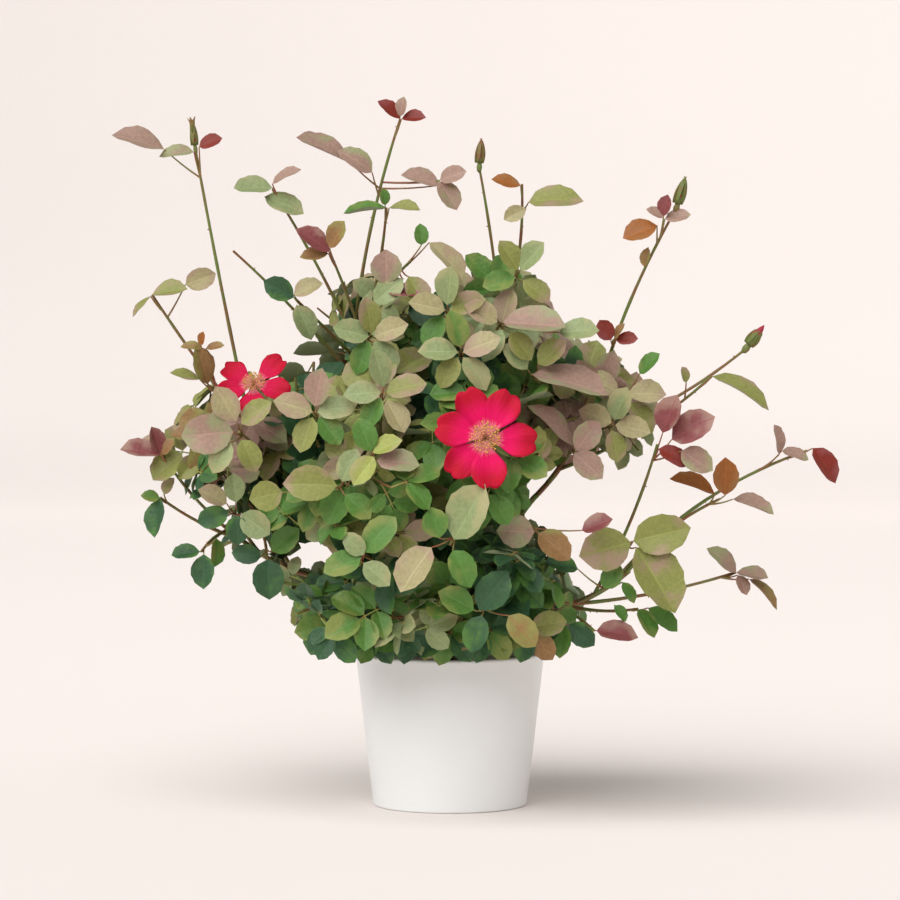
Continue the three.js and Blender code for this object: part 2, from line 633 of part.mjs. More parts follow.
// The first of several leaves at one place that has room, as each try turns it and shrinks it a little.
function growFreeLeaf(mass, curve, share, name, kin, turn) {
  const base = curve.getPointAt(share);
  const heading = curve.getTangentAt(share);
  const keepsIn = (spot) => depthIn(mass, spot) < 1 && isOpenAir(spot);
  const size = THREE.MathUtils.lerp(LEAF_TRIES.least, LEAF_TRIES.largest, mass.random());
  for (let attempt = 0; attempt < LEAF_TRIES.count; attempt++) {
    const side = turnedAbout(heading, turn + attempt * GOLDEN_ANGLE);
    const opening = radians(LEAF_TRIES.angle + LEAF_TRIES.angleRange * (mass.random() - 0.5));
    const direction = side.multiplyScalar(Math.sin(opening)).addScaledVector(heading, Math.cos(opening));
    const shrink = THREE.MathUtils.lerp(1, LEAF_TRIES.smallest, attempt / LEAF_TRIES.count);
    const leaf = planLeaf(base, direction, lightAt(base, mass.random), size * shrink, kin, keepsIn);
    if (leaf) return [growLeaf(leaf, name)];
  }
  return [];
}

// A shoot from the mass's stem towards its outside, with leaves from its tip down.
function growShoot(mass, round) {
  const name = `${mass.name}_shoot_${round}`;
  const place = THREE.MathUtils.lerp(SHOOT.lowest, SHOOT.highest, (round + 1) / mass.shoots);
  const base = mass.stem.getPointAt(place);
  const turn = 360 * mass.random();
  const curves = Array.from({ length: SHOOT.tries }, (_, attempt) => {
    const height = 1 - (2 * (round + 0.5)) / mass.shoots;
    const across = Math.sqrt(1 - height * height);
    const angle = radians(turn + (round + attempt * SHOOT.tryTurn) * GOLDEN_ANGLE);
    const way = new THREE.Vector3(across * Math.cos(angle), across * Math.sin(angle), height);
    const target = vector(mass.at).addScaledVector(way.multiply(vector(mass.half)), SHOOT.reach);
    const span = target.clone().sub(base);
    const middle = along(base, span, TWIG.bend).addScaledVector(UP, span.length() * TWIG.rise);
    return new THREE.QuadraticBezierCurve3(along(base, span, -SINK / span.length()), middle, target);
  });
  const curve = firstFreeRod(curves, new Set([...mass.kin, name]));
  if (!curve) return;
  mass.solids.push(growTwig(curve, name, TWIG.steps));
  for (let k = 0; k < SHOOT_LEAVES.count; k++) {
    const share = THREE.MathUtils.lerp(1, SHOOT_LEAVES.first, k / (SHOOT_LEAVES.count - 1));
    const leafName = `${name}_${k}`;
    const kin = new Set([name, leafName]);
    mass.solids.push(...growFreeLeaf(mass, curve, share, leafName, kin, turn + k * GOLDEN_ANGLE));
  }
}

// The crown fills by rounds, one shoot to a mass in each, so that the masses share the room between them.
const mostShoots = Math.max(...MASSES.map((mass) => mass.shoots));
for (let round = 0; round < mostShoots; round++)
  for (const mass of MASSES.filter((candidate) => candidate.shoots > round)) growShoot(mass, round);

// Each mass is one solid: what doesn't hang together with its stem is dropped.
for (const mass of MASSES) {
  const pieces = fused(mass.solids).decompose();
  pieces.sort((a, b) => b.volume() - a.volume());
  addNode(`leaves_${mass.name}`, geometryOf(pieces[0]), mass.tint);
}

export default bush;
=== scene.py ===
import json
import math
from dataclasses import dataclass, field

import bpy
import numpy as np
from bpy.props import FloatProperty, FloatVectorProperty, IntProperty, PointerProperty
from mathutils import Matrix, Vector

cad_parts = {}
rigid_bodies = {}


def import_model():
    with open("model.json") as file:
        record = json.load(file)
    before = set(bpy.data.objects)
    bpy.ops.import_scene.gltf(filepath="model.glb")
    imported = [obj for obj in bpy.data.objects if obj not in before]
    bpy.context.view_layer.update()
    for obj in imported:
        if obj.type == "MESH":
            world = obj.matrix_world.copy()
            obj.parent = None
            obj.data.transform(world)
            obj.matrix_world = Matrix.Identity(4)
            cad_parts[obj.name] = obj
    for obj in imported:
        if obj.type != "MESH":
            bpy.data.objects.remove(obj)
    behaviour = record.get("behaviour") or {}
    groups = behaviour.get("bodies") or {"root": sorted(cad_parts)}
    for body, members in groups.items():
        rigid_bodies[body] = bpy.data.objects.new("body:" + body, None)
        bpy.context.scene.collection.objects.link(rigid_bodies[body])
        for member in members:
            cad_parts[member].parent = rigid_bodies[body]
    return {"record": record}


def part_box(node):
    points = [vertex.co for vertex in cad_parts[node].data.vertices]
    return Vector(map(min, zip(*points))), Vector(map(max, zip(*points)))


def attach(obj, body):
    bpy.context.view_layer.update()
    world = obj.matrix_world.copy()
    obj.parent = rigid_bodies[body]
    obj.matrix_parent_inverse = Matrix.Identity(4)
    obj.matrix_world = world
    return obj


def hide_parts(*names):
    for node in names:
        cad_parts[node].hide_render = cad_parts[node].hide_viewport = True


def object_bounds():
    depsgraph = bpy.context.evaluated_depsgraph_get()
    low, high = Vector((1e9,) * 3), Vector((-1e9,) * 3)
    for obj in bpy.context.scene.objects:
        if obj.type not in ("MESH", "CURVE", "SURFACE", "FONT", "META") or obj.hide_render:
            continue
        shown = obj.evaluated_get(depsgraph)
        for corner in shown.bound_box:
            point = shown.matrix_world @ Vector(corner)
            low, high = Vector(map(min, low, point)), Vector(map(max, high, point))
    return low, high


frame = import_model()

bl_info = {
    "name": "Potted Rose Bush",
    "version": (1, 0, 0),
    "blender": (4, 5, 0),
    "location": "3D View > Sidebar > Rose Bush",
    "description": "Grows a rose bush from its canes to its leaves, buds and blooms, in a plain pot",
    "category": "Object",
}

CAD_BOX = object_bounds()
POT_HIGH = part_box("pot")[1]
STEM_LOW, STEM_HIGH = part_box("stem")
SOIL_LOW, SOIL_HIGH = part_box("soil")

# ------------ the plant's driving sizes, in metres

# The gap between a cane's tip and the stem of its mass.
GAP = 0.0003
STEM = {"lean": 0.004, "foot": 0.015, "neck": 0.010, "top": 0.011, "height": STEM_HIGH.z - STEM_LOW.z}
CANE = {"root": 0.0038, "tip": 0.0022, "upright": 0.55, "reach": 0.62, "flare": 0.016}
CANE_BEND = {"inset": 0.4, "highest": 0.9, "steepest": 1.15, "root_rise": 0.35, "tip_run": 0.22,
             "tip_rise": 0.25}
MASS_STEM = {"past_middle": 0.25, "straight": 0.45}
# Openings through the crown, as left, right, foot and top.
OPENINGS = ((0.064, 0.124, 0.222, 0.262), (-0.113, -0.094, 0.191, 0.212), (-0.203, -0.187, 0.208, 0.228),
            (-0.161, -0.146, 0.204, 0.215), (-0.182, -0.172, 0.236, 0.250), (-0.034, 0.002, 0.416, 0.442))
LEADER = {"leaf_step": 0.026, "forward": 0.3, "tip_size": 0.7, "tilt": 40}
LEADER_BOWS = (0, 0.012, -0.012, 0.024, -0.024, 0.040, -0.040)
TWIG = {"root": 0.0018, "tip": 0.0010, "rise": 0.12, "bend": 0.45}
SHOOT = {"reaches": (0.64, 0.46), "lowest": 0.2, "highest": 0.98, "tries": 6, "try_turn": 0.37,
         "leaf_step": 0.015, "last_leaf": 0.16}
SIDE_TWIG = {"places": (0.82, 0.58, 0.34), "length": 0.044, "opening": 50, "root": 0.0011, "tip": 0.0007,
             "apart": 150, "deepest": 0.94, "leaves": (1, 0.65, 0.3), "leaf_size": 0.9}
LEAF_ROOM = {"tries": 12, "least": 0.84, "largest": 1.14, "smallest": 0.62, "angle": 58, "angle_range": 54,
             "overlap": 0.07}
FILLING = {"rounds": 6, "least": 0.58, "largest": 0.95}
# How far out of its mass's space a leaf may reach, where 1 is the edge of the space.
SPILL = 1.16
# The crown's left and right edges at several heights, and how far back its widest outline is rounded off.
CROWN_EDGES = (
    (0.120, -0.122, 0.112), (0.165, -0.132, 0.114), (0.190, -0.165, 0.096), (0.208, -0.212, 0.092),
    (0.245, -0.244, 0.116), (0.285, -0.250, 0.160), (0.325, -0.214, 0.170), (0.336, -0.190, 0.160),
    (0.346, -0.096, 0.148), (0.374, -0.084, 0.120), (0.390, -0.110, 0.092), (0.405, -0.110, 0.080),
    (0.422, -0.070, 0.080), (0.438, 0.010, 0.074), (0.448, 0.022, 0.072), (0.458, 0.032, 0.062),
)
CROWN_DEPTH = 0.26
# The crown's inner space: middle, half sizes and the share inside which sprays take dark greens as painted
# shade.
SHADED_CORE = {"middle": (-0.015, 0.0, 0.27), "half": (0.24, 0.16, 0.20), "share": 0.62}
BLADE = {"forward": 0.22, "before": 3, "broad": 0.70, "stalk_back": 0.10, "stalk_sag": 2,
         "clear": (0, 0.004, 0.008, 0.012, 0.016)}
MM = 0.001
LIGHT = {"up_low": 0.35, "up_high": 0.9, "climb": 0.28, "outward": 0.9, "side": 0.6, "middle": -0.015,
         "ridge": 0.045, "depth": 1.5, "scatter": 0.8}
ROOM = {"cell": 0.0036, "spot": 0.0034, "over_rim": 0.0025, "past_box": 0.002, "root_spots": 2}
GOLDEN_ANGLE = 137.508
UP = np.array((0.0, 0.0, 1.0))


@dataclass
class Mass:
    """One mass of foliage, in its own ellipsoid of the crown."""
    name: str
    at: tuple
    half: tuple
    lift: float
    shoots: int
    tints: str

    def __post_init__(self):
        self.at, self.half = np.array(self.at), np.array(self.half)


MASSES = (
    Mass("top_left", (-0.068, 0.0, 0.366), (0.096, 0.092, 0.090), 1.0, 11,
         "grey olive sage grey rosy olive green"),
    Mass("top_right", (0.042, 0.004, 0.372), (0.096, 0.092, 0.092), 1.0, 11,
         "grey sage olive grey green grey rosy"),
    Mass("high_left", (-0.148, -0.034, 0.294), (0.102, 0.096, 0.078), 0.7, 11,
         "olive sage olive rosy grey olive bronze"),
    Mass("low_left", (-0.162, -0.010, 0.214), (0.090, 0.096, 0.072), 0.42, 9,
         "deep green deep olive deep green"),
    Mass("front_left", (-0.060, -0.098, 0.276), (0.092, 0.092, 0.090), 0.7, 12,
         "grey green olive green grey"),
    Mass("front_right", (0.034, -0.098, 0.270), (0.086, 0.092, 0.090), 0.7, 12,
         "green grey green deep olive"),
    Mass("high_right", (0.110, -0.014, 0.318), (0.094, 0.094, 0.076), 0.52, 10,
         "grey sage olive grey green rosy"),
    Mass("low_right", (0.128, -0.034, 0.182), (0.084, 0.084, 0.058), 0.3, 4,
         "olive green green"),
    Mass("skirt_left", (-0.076, -0.078, 0.168), (0.092, 0.092, 0.064), 0.3, 11,
         "green deep green deep grey deep"),
    Mass("skirt_right", (0.036, -0.082, 0.166), (0.088, 0.090, 0.066), 0.3, 11,
         "green deep green deep olive deep"),
    Mass("back_left", (-0.092, 0.088, 0.290), (0.098, 0.094, 0.104), 0.7, 11,
         "olive grey green sage grey bronze"),
    Mass("back_right", (0.026, 0.092, 0.292), (0.092, 0.092, 0.104), 0.7, 11,
         "grey olive green sage grey rosy"),
    Mass("skirt_back_left", (-0.070, 0.078, 0.168), (0.090, 0.090, 0.064), 0.3, 10,
         "green deep olive green deep"),
    Mass("skirt_back_right", (0.044, 0.080, 0.166), (0.088, 0.090, 0.066), 0.3, 10,
         "green deep grey green deep"),
)


@dataclass
class Leader:
    """A long shoot that stands out of the crown, with its tip, its bow and its start on the mass's stem.
    Each blade is a leaflet: millimetres across and up from the tip to its foot, the way that it points as the
    front shows it, its length and how broad it looks in millimetres, and its tint. points are the ways that
    whole leaves point, tip first. A bud has the way that it points, its length in millimetres and how far it
    has opened: 0 closed, 1 with its petals in sight, and less than 0 for a slim young one."""
    mass: str
    tip: tuple
    bow: float
    start: float
    blades: tuple = ()
    points: tuple = ()
    tints: str = "olive"
    bud: tuple = ()


LEADERS = [
    Leader("high_left", (-0.198, -0.048, 0.517), 0.002, 0.9, ((-1, -2, 176, 26, 9, "rosy"),
        (-24, 0, 158, 41, 14, "rosy"), (3, 2, 25, 19, 11, "red")), bud=(97, 22, -0.7)),
    Leader("high_left", (-0.231, -0.060, 0.404), 0.004, 0.6, ((0, 0, 15, 28, 11, "olive"),
        (26, 8, 20, 24, 17, "sage"), (-1, -1, 222, 21, 5, "olive"))),
    Leader("high_left", (-0.186, -0.092, 0.335), -0.006, 0.3, ((0, 0, 100, 31, 15, "bronze"),
        (-4, 28, 165, 16, 6, "bronze"), (-5, 30, 80, 11, 6, "rust"), (-1, 28, 15, 14, 6, "bronze"),
        (-6, 4, 160, 23, 7, "olive"))),
    Leader("top_left", (-0.168, -0.062, 0.438), -0.010, 0.2),
    Leader("top_left", (-0.139, -0.030, 0.487), -0.008, 0.5, ((0, 1, 180, 30, 14, "grey"),
        (-6, -6, 342, 33, 16, "grey"), (0, 4, 33, 25, 8, "rosy"))),
    Leader("top_left", (-0.039, -0.024, 0.542), 0.008, 0.98, ((0, 0, 136, 22, 10, "red"),
        (0, 2, 86, 15, 9, "rosy"), (1, 0, 8, 19, 9, "red"), (-22, -42, 138, 31, 15, "rosy"),
        (-40, -33, 155, 45, 13, "rosy"), (31, -52, 160, 31, 14, "rosy"), (31, -48, 20, 22, 13, "rosy"),
        (31, -49, 302, 26, 16, "rosy"))),
    Leader("top_left", (-0.049, -0.070, 0.471), -0.006, 0.8, ((0, 0, 181, 33, 7, "green"),
        (2, 0, 2, 24, 7, "olive"), (-1, 2, 98, 13, 8, "green"))),
    Leader("top_left", (-0.093, -0.066, 0.437), -0.006, 0.3, ((0, 0, 140, 31, 14, "wine"),
        (0, 3, 62, 24, 14, "bronze"), (-1, -1, 182, 22, 10, "bronze"))),
    Leader("top_right", (0.023, -0.024, 0.504), -0.004, 0.7, bud=(86, 23, 0)),
    Leader("top_right", (0.056, -0.048, 0.490), -0.008, 0.95, ((-1, -1, 162, 23, 10, "rust"),
        (5, -14, 12, 41, 17, "olive"), (3, -19, 205, 19, 13, "sage"))),
    Leader("high_right", (0.176, -0.050, 0.471), 0.010, 0.9, ((-10, -7, 150, 15, 8, "rosy"),
        (-10, -6, 83, 17, 10, "wine"), (-9, -8, 15, 20, 10, "rosy"), (-15, -13, 196, 28, 16, "rust"),
        (-22, -30, 250, 15, 7, "bronze")), bud=(74, 26, 0)),
    Leader("high_right", (0.232, -0.030, 0.362), -0.014, 0.5, bud=(52, 24, 1)),
    Leader("high_right", (0.203, -0.064, 0.341), -0.014, 0.25, ((0, 0, 342, 49, 11, "olive"),
        (-20, -5, 105, 13, 7, "olive"))),
    Leader("high_right", (0.126, -0.078, 0.369), -0.004, 0.95, ((-2, 0, 120, 18, 14, "red"),
        (2, 0, 5, 17, 10, "red"), (1, 1, 60, 14, 5, "bronze"))),
    Leader("low_right", (0.159, -0.096, 0.289), -0.008, 0.5, ((4, 9, 73, 31, 18, "wine"),
        (11, 4, 30, 37, 22, "wine"), (1, -3, 338, 25, 13, "red"), (18, -5, 330, 28, 19, "rosy"))),
    Leader("low_right", (0.209, -0.070, 0.246), 0.012, 0.95, ((4, 3, 90, 29, 20, "rust"),
        (-4, 4, 155, 37, 12, "rust"), (10, 0, 345, 33, 9, "rosy"))),
    Leader("low_right", (0.278, -0.056, 0.283), 0.014, 0.75, ((4, 2, 312, 31, 16, "red"),
        (-22, -3, 100, 24, 9, "rosy"), (-20, 0, 352, 21, 8, "rosy"))),
    Leader("low_right", (0.224, -0.040, 0.187), -0.008, 0.2, ((0, 0, 130, 29, 12, "rosy"),
        (0, 0, 352, 25, 9, "rosy"), (1, -2, 295, 17, 10, "rosy"), (10, -5, 325, 31, 7, "bronze"))),
    Leader("low_right", (0.139, -0.110, 0.215), 0.004, 0.6, ((-1, 0, 195, 40, 33, "olive"),
        (1, 1, 14, 43, 30, "olive"), (3, -4, 304, 57, 34, "olive"))),
    Leader("low_right", (0.144, -0.100, 0.163), -0.006, 0.15, ((0, 0, 302, 25, 12, "green"),
        (8, 1, 327, 28, 13, "green"), (-18, 3, 308, 15, 8, "green"))),
    Leader("low_right", (0.110, -0.106, 0.147), 0.004, 0.05, ((2, 0, 1, 31, 14, "wine"),)),
    Leader("low_left", (-0.224, -0.056, 0.280), 0.012, 0.6, ((-1, 2, 108, 21, 12, "wine"),
        (-1, 0, 168, 31, 13, "wine"), (0, 0, 60, 15, 9, "bronze"))),
    Leader("low_left", (-0.226, -0.050, 0.246), 0.006, 0.8, ((0, 0, 262, 31, 16, "deep"),
        (0, 0, 172, 15, 9, "green"), (3, 3, 60, 15, 9, "olive"))),
    Leader("low_left", (-0.193, -0.064, 0.205), 0.008, 0.95, ((2, -2, 270, 27, 18, "deep"),
        (-1, 0, 186, 22, 11, "deep"), (12, 10, 276, 21, 10, "green"))),
    Leader("low_left", (-0.166, -0.100, 0.240), 0.004, 0.6, ((2, 5, 95, 22, 16, "grey"),
        (-5, 4, 150, 24, 14, "sage"), (-4, -2, 200, 24, 17, "deep"), (2, -5, 275, 22, 17, "deep"),
        (6, -4, 325, 27, 21, "grey"))),
    Leader("low_left", (-0.141, -0.092, 0.203), 0.004, 0.8, ((1, -2, 272, 30, 24, "deep"),
        (4, 4, 40, 28, 19, "green"), (-4, 0, 170, 22, 15, "deep"))),
    Leader("back_left", (-0.112, 0.112, 0.350), 0.008, 0.9, points=(300, 150, 10), tints="olive grey sage"),
    Leader("back_left", (-0.056, 0.084, 0.404), 0.004, 0.6, points=(200, 320, 10), tints="sage olive grey"),
    Leader("back_right", (0.040, 0.092, 0.404), -0.006, 0.9, points=(20, 180, 350), tints="grey olive sage"),
    Leader("back_right", (0.096, 0.110, 0.348), -0.010, 0.6, points=(250, 340, 200), tints="olive sage grey"),
]
# Short straight shoots whose leaves show one by one on the crown: their mass, tip, start and blades.
SPRAYS = (
    ("top_left", (-0.030, -0.085, 0.430), 0.8, ((-19, -18, 90, 26, 24, "rosy"),
        (-18, -24, 0, 25, 10, "wine"), (8, 12, 90, 16, 9, "green"), (14, 14, 320, 38, 15, "sage"),
        (-6, -14, 215, 28, 18, "grey"), (-2, -12, 300, 28, 18, "olive"))),
    ("top_right", (-0.004, -0.108, 0.392), 0.5, ((0, 0, 165, 28, 17, "sage"), (2, 4, 85, 30, 18, "grey"),
        (4, 0, 20, 28, 17, "olive"), (-2, -4, 240, 28, 17, "green"), (4, -4, 300, 30, 17, "sage"))),
    ("top_right", (0.006, -0.122, 0.360), 0.4, ((0, 0, 175, 30, 18, "grey"), (2, 4, 100, 28, 17, "green"),
        (4, 0, 25, 30, 18, "sage"), (0, -4, 235, 26, 17, "olive"), (4, -4, 310, 30, 17, "grey"))),
    ("top_left", (-0.119, -0.060, 0.400), 0.6, ((-2, 2, 150, 26, 18, "deep"), (-2, 4, 25, 24, 13, "sage"),
        (0, -4, 300, 28, 17, "grey"))),
    ("top_right", (0.052, -0.080, 0.423), 0.8, ((0, 0, 118, 26, 16, "olive"), (2, 0, 50, 28, 16, "grey"),
        (-2, -6, 195, 26, 16, "green"), (4, -8, 325, 26, 16, "olive"), (-4, -14, 250, 28, 18, "sage"))),
    ("top_right", (0.040, -0.110, 0.383), 0.7, ((0, 0, 358, 48, 19, "rosy"), (43, -8, 8, 30, 16, "grey"),
        (-4, 0, 150, 28, 17, "sage"), (0, -6, 235, 28, 17, "grey"), (6, -8, 310, 26, 17, "olive"))),
    ("top_left", (-0.062, -0.105, 0.372), 0.7, ((0, 0, 165, 28, 18, "grey"), (2, 2, 95, 28, 17, "olive"),
        (4, 0, 20, 28, 17, "sage"), (0, -4, 245, 26, 17, "green"), (4, -4, 310, 28, 17, "grey"))),
    ("high_right", (0.063, -0.110, 0.343), 0.6, ((0, 0, 352, 58, 19, "rosy"), (4, 8, 40, 28, 17, "olive"),
        (-4, 4, 130, 26, 16, "grey"))),
    ("high_right", (0.138, -0.080, 0.325), 0.7, ((8, 18, 48, 22, 10, "green"), (-1, 3, 2, 29, 17, "sage"),
        (0, -4, 312, 29, 17, "olive"), (-8, 4, 150, 30, 17, "sage"), (-6, -2, 215, 26, 16, "grey"))),
    ("high_right", (0.095, -0.105, 0.285), 0.4, ((0, 3, 138, 48, 14, "rosy"), (1, 0, 52, 28, 20, "rosy"),
        (0, -2, 318, 29, 20, "rosy"))),
    ("high_right", (0.124, -0.094, 0.304), 0.5, ((0, 2, 155, 26, 17, "sage"), (2, 4, 70, 27, 17, "grey"),
        (3, 0, 350, 27, 17, "sage"), (0, -4, 285, 24, 16, "olive"))),
    ("high_left", (-0.160, -0.132, 0.300), 0.6, ((-4, 0, 185, 38, 30, "rosy"), (-2, 8, 120, 30, 21, "sage"),
        (2, 6, 40, 28, 17, "olive"), (2, -6, 300, 26, 17, "olive"), (-6, -8, 235, 26, 17, "grey"))),
    ("front_left", (-0.104, -0.135, 0.315), 0.6, ((0, 0, 160, 30, 19, "sage"), (2, 4, 80, 30, 19, "rosy"),
        (4, 0, 15, 28, 17, "grey"), (0, -4, 250, 28, 18, "olive"), (5, -4, 310, 26, 17, "green"))),
    ("front_left", (-0.085, -0.150, 0.257), 0.8, ((0, 3, 176, 40, 27, "olive"),
        (-41, -2, 192, 25, 23, "olive"), (4, 6, 70, 26, 17, "grey"), (6, -4, 320, 26, 17, "green"))),
    ("front_left", (-0.057, -0.158, 0.282), 0.9, ((-1, 3, 28, 24, 12, "lime"), (0, 0, 232, 26, 17, "lime"),
        (2, -3, 3, 31, 16, "rosy"), (-2, 4, 110, 26, 18, "green"))),
    ("front_left", (-0.052, -0.140, 0.330), 0.5, ((0, 0, 180, 28, 17, "grey"), (2, 4, 100, 30, 17, "grey"),
        (4, 0, 20, 30, 17, "olive"), (0, -4, 240, 26, 17, "green"), (4, -6, 300, 28, 17, "sage"))),
    ("skirt_left", (-0.065, -0.155, 0.208), 0.8, ((1, 2, 55, 34, 21, "green"), (0, 0, 130, 21, 15, "grey"),
        (0, -6, 320, 26, 17, "grey"), (-2, -2, 200, 30, 18, "green"))),
    ("front_right", (0.0, -0.160, 0.216), 0.8, ((-14, -2, 232, 40, 24, "sage"), (3, 4, 62, 48, 30, "grey"),
        (-8, 5, 105, 24, 20, "green"), (2, -4, 300, 30, 20, "green"))),
    ("front_right", (0.067, -0.128, 0.223), 0.6, ((-3, 1, 178, 29, 25, "rosy"),
        (0, 0, 322, 31, 20, "bronze"), (33, 2, 22, 25, 12, "wine"))),
    ("skirt_right", (0.024, -0.148, 0.166), 0.8, ((-2, 0, 55, 36, 25, "deep"),
        (20, -4, 315, 30, 20, "bronze"), (-6, 0, 150, 30, 20, "green"), (0, -4, 250, 28, 19, "deep"))),
    ("skirt_left", (-0.092, -0.092, 0.150), 0.5, ((0, 0, 190, 28, 19, "green"), (2, 0, 245, 27, 18, "deep"),
        (6, 0, 295, 27, 18, "green"), (4, 4, 20, 28, 19, "deep"))),
    ("skirt_left", (-0.062, -0.098, 0.144), 0.6, ((0, 0, 200, 26, 18, "deep"), (2, 0, 250, 24, 17, "green"),
        (5, 0, 300, 25, 17, "deep"), (5, 4, 350, 27, 18, "green"))),
    ("skirt_left", (-0.034, -0.100, 0.145), 0.7, ((0, 0, 205, 26, 18, "green"), (2, 0, 262, 24, 17, "deep"),
        (6, 0, 318, 26, 18, "grey"), (4, 4, 20, 28, 19, "grey"))),
    ("skirt_right", (-0.004, -0.102, 0.144), 0.4, ((0, 0, 210, 27, 18, "deep"), (2, 0, 255, 24, 17, "green"),
        (6, 0, 305, 25, 17, "deep"), (5, 3, 350, 27, 18, "green"))),
    ("skirt_right", (0.026, -0.100, 0.146), 0.5, ((0, 0, 200, 27, 18, "olive"), (2, 0, 250, 25, 17, "deep"),
        (6, 0, 300, 25, 18, "green"), (4, 4, 10, 28, 19, "deep"))),
    ("skirt_right", (0.058, -0.096, 0.145), 0.6, ((0, 0, 205, 27, 18, "green"), (2, 0, 255, 24, 17, "deep"),
        (6, 0, 305, 25, 18, "bronze"), (4, 4, 10, 28, 19, "olive"))),
    ("skirt_right", (0.086, -0.082, 0.150), 0.7, ((0, 0, 200, 27, 18, "deep"), (2, 0, 260, 26, 17, "green"),
        (6, 0, 320, 25, 18, "deep"))),
    ("low_right", (0.120, -0.104, 0.180), 0.3, ((-2, -1, 60, 22, 16, "green"), (12, 4, 305, 18, 9, "green"),
        (-22, 14, 165, 26, 12, "deep"))),
)
LEADERS += [Leader(mass, tip, 0.0, start, blades) for mass, tip, start, blades in SPRAYS]

# Leaves of the crown's front near these places (X, Z, radius) take the tint named, as young sprays do.
ACCENTS = (
    (-0.172, 0.292, 0.024, "rosy"),
    (0.104, 0.296, 0.017, "rosy"),
    (0.075, 0.385, 0.018, "rosy"),
    (-0.060, 0.300, 0.018, "lime"),
    (-0.205, 0.250, 0.024, "deep"),
    (-0.222, 0.272, 0.016, "olive"),
    (-0.150, 0.222, 0.026, "deep"),
    (0.056, 0.140, 0.018, "bronze"),
)


@dataclass
class Bloom:
    """A single bloom: its middle, the way it faces, its share of red and the ways that its petals point."""
    name: str
    mass: str
    node: str
    at: tuple
    face: tuple
    size: float
    red: float
    petals: tuple

    def __post_init__(self):
        self.at, self.face = np.array(self.at), np.array(self.face) / np.linalg.norm(self.face)


BLOOMS = (
    Bloom("bloom_front", "front_right", "bloom_front", (0.027, -0.160, 0.296), (0.04, -0.97, 0.2), 1.0, 0.0,
          (61, 114, 167, 225, 274, 356)),
    Bloom("bloom_left", "high_left", "bloom_left", (-0.150, -0.104, 0.336), (-0.10, -0.80, 0.60), 0.78, 0.6,
          (40, 143, 205, 268, 335)),
)
BLOOM_RADIUS = 0.040
BLOOM_ROOM = (-0.002, 0.002, 0.006, 0.012, 0.018, 0.024, 0.030)

# A compound leaf: the stalk's length, the end leaflet's length and each pair's place, angle and size.
LEAF_FORMS = {
    5: {"stalk": 0.029, "end": 0.031, "pairs": ((0.80, 62, 0.94), (0.40, 70, 0.80))},
    3: {"stalk": 0.019, "end": 0.036, "pairs": ((0.84, 70, 0.96),)},
}
LEAFLET = {"rows": 9, "slant": 0.16, "tooth": 0.020, "quilt": 0.012, "rib": 0.045, "groove": 0.010,
           "thick": 0.034, "shapes": 9}

# ------------ small helpers


def linear(code):
    """A screen colour such as 0x8c9a66 as the linear red, green and blue that Blender uses."""
    shares = [((code >> shift) & 255) / 255 for shift in (16, 8, 0)]
    return tuple(s / 12.92 if s <= 0.04045 else ((s + 0.055) / 1.055) ** 2.4 for s in shares)


def shaded(colour, factor):
    """A colour made lighter or darker by a factor."""
    return tuple(c * factor for c in colour)


def vec(*parts):
    """A vector of its parts."""
    return np.array(parts)


def unit(vector):
    return vector / max(np.linalg.norm(vector), 1e-12)


def turned(vector, axis, degrees):
    """A vector turned about a unit axis."""
    angle = math.radians(degrees)
    along = axis * np.dot(axis, vector) * (1 - math.cos(angle))
    return vector * math.cos(angle) + np.cross(axis, vector) * math.sin(angle) + along


def square_to(axis, direction):
    """The part of a vector that is square to a unit axis, at unit length."""
    rest = direction - axis * np.dot(axis, direction)
    if np.dot(rest, rest) < 1e-6:
        rest = np.cross(axis, (0.3, 0.9, 0.1))
    return unit(rest)


def turned_about(axis, degrees):
    """A unit vector square to an axis, turned about it by an angle counted from the plant's +X side."""
    return turned(square_to(axis, vec(1, 0.001, 0)), axis, degrees)


def seen_way(degrees, outward=-1, forward=0.0):
    """A way as the front shows it, counted from the right. outward is -1 on the front and 1 on the back."""
    angle = math.radians(degrees)
    return vec(-outward * math.cos(angle), outward * forward, math.sin(angle))


def seeded(name):
    """A repeatable stream of numbers from 0 to 1, with its seed worked out from a name."""
    mask = 0xFFFFFFFF
    state = 7
    for letter in name:
        state = (state * 31 + ord(letter)) & mask

    def draw():
        nonlocal state
        state = (state + 0x6D2B79F5) & mask
        mixed = ((state ^ (state >> 15)) * (1 | state)) & mask
        mixed = ((mixed + (((mixed ^ (mixed >> 7)) * (61 | mixed)) & mask)) & mask) ^ mixed
        return ((mixed ^ (mixed >> 14)) & mask) / 4294967296

    return draw


def lerp(start, end, share):
    return start + (end - start) * share


class Path:
    """A bent limb's middle line, drawn by Bezier controls. Places on it are shares of its length."""

    def __init__(self, *controls, steps=32):
        controls = np.array(controls, float)
        degree = len(controls) - 1
        share = np.linspace(0, 1, steps + 1)[:, None]
        self.points = sum(math.comb(degree, i) * share**i * (1 - share) ** (degree - i) * control
                          for i, control in enumerate(controls))
        steps_between = np.linalg.norm(np.diff(self.points, axis=0), axis=1)
        self.reached = np.concatenate(([0], np.cumsum(steps_between)))
        self.length = self.reached[-1]

    def at(self, share):
        place = np.clip(share, 0, 1) * self.length
        return np.stack([np.interp(place, self.reached, self.points[:, axis]) for axis in range(3)], axis=-1)

    def heading(self, share):
        return unit(self.at(min(1, share + 0.03)) - self.at(max(0, share - 0.03)))

    def spots(self, gap=ROOM["spot"]):
        return self.at(np.linspace(0, 1, max(2, math.ceil(self.length / gap) + 1)))


# ------------ how the bush grows


